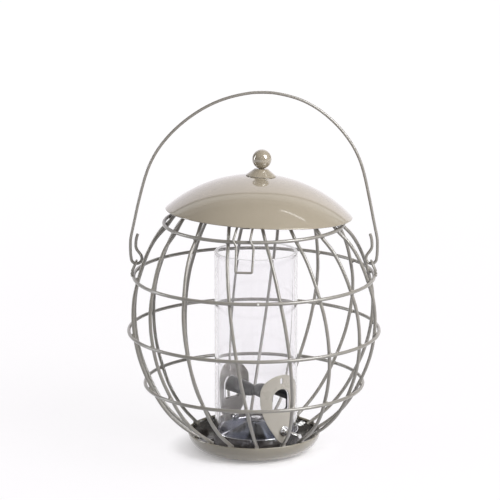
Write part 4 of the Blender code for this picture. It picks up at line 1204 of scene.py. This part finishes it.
def make_world():
    """Even light, with white paper behind the feeder up to an arched edge and a greyer room above it."""
    world = bpy.data.worlds.new("studio")
    bpy.context.scene.world = world
    world.use_nodes = True
    tree = world.node_tree
    tree.nodes.clear()
    split = node(tree, "SeparateXYZ", Vector=node(tree, "TexCoord").outputs["Generated"])
    depth = maths(tree, "MAXIMUM", split.outputs["Y"], PAPER_DEPTH)
    aside = maths(tree, "DIVIDE", maths(tree, "DIVIDE", split.outputs["X"], depth), PAPER_HALF_WIDTH)
    above = maths(tree, "SUBTRACT", maths(tree, "DIVIDE", split.outputs["Z"], depth), PAPER_MIDDLE)
    above = maths(tree, "DIVIDE", maths(tree, "MAXIMUM", above, 0), PAPER_HALF_HEIGHT)
    square = maths(tree, "ADD", maths(tree, "MULTIPLY", aside, aside), maths(tree, "MULTIPLY", above, above))
    ramp = node(tree, "ValToRGB", Fac=maths(tree, "MULTIPLY", maths(tree, "SQRT", square, 0), PAPER_SCALE))
    stops = ramp.color_ramp.elements
    stops.remove(stops[1])
    stops[0].position, stops[0].color = 0, (*PAPER_TONES[0][1], 1)
    for position, colour in PAPER_TONES[1:]:
        stops.new(position).color = (*colour, 1)
    path, shown = seen_directly(tree)
    mirrored = maths(tree, "SUBTRACT", path.outputs["Is Glossy Ray"], path.outputs["Is Transmission Ray"])
    lit = node(tree, "Background", Color=WORLD_COLOUR, Strength=WORLD_LEVEL)
    backdrop = mixed(tree, mirrored, BACKGROUND, ramp.outputs["Color"])
    seen = node(tree, "Background", Color=backdrop, Strength=1.0)
    mix = node(tree, "MixShader", Fac=shown)
    tree.links.new(lit.outputs[0], mix.inputs[1])
    tree.links.new(seen.outputs[0], mix.inputs[2])
    node(tree, "OutputWorld", Surface=mix.outputs[0])


def make_floor():
    """A pale floor that keeps the shadow; the rest of its white is only seen, and lights nothing."""
    made, tree, shader = new_material("studio_floor")
    away = node(tree, "VectorMath", {"operation": "LENGTH"})
    tree.links.new(node(tree, "TexCoord").outputs["Object"], away.inputs[0])
    distance = away.outputs["Value"]
    far = mixed(tree, ranged(tree, grain(tree, *FLOOR_CLOUDS), 0, 1), FLOOR_DARK, FLOOR_LIGHT)
    nearness = ranged(tree, distance, 1, 0, FLOOR_NEAR_START, FLOOR_NEAR_END)
    fill(tree, shader, {"Base Color": mixed(tree, nearness, far, FLOOR_NEAR), "Specular IOR Level": 0.0,
                        "Roughness": ranged(tree, grain(tree, *FLOOR_POLISH), *FLOOR_ROUGHNESS)})
    _, shown = seen_directly(tree)
    level = ranged(tree, distance, *FLOOR_GLOW, *FLOOR_GLOW_RANGE)
    loss = ranged(tree, distance, FLOOR_NEAR_LOSS, 0, FLOOR_NEAR_START, FLOOR_NEAR_END)
    strength = maths(tree, "MULTIPLY", shown, maths(tree, "SUBTRACT", level, loss))
    glow = node(tree, "Emission", Color=BACKGROUND, Strength=strength)
    both = node(tree, "AddShader")
    tree.links.new(shader.outputs[0], both.inputs[0])
    tree.links.new(glow.outputs[0], both.inputs[1])
    tree.links.new(both.outputs[0], tree.nodes["Material Output"].inputs["Surface"])
    work = bmesh.new()
    bmesh.ops.create_grid(work, x_segments=8, y_segments=8, size=FLOOR_HALF)
    mesh = finished(work)
    mesh.materials.append(made)
    linked("floor", mesh)


make_world()
make_floor()
for settings in SOFTBOXES:
    softbox(*settings)
bpy.context.scene.view_settings.view_transform = "Standard"
make_cage()
make_tray()
make_base()
make_tube()
make_lid()
for side, azimuth in CLIPS:
    make_clip(side, azimuth)
make_bail()
make_eyelet("eyelet_left", -1)
make_eyelet("eyelet_right", 1)
make_camera()
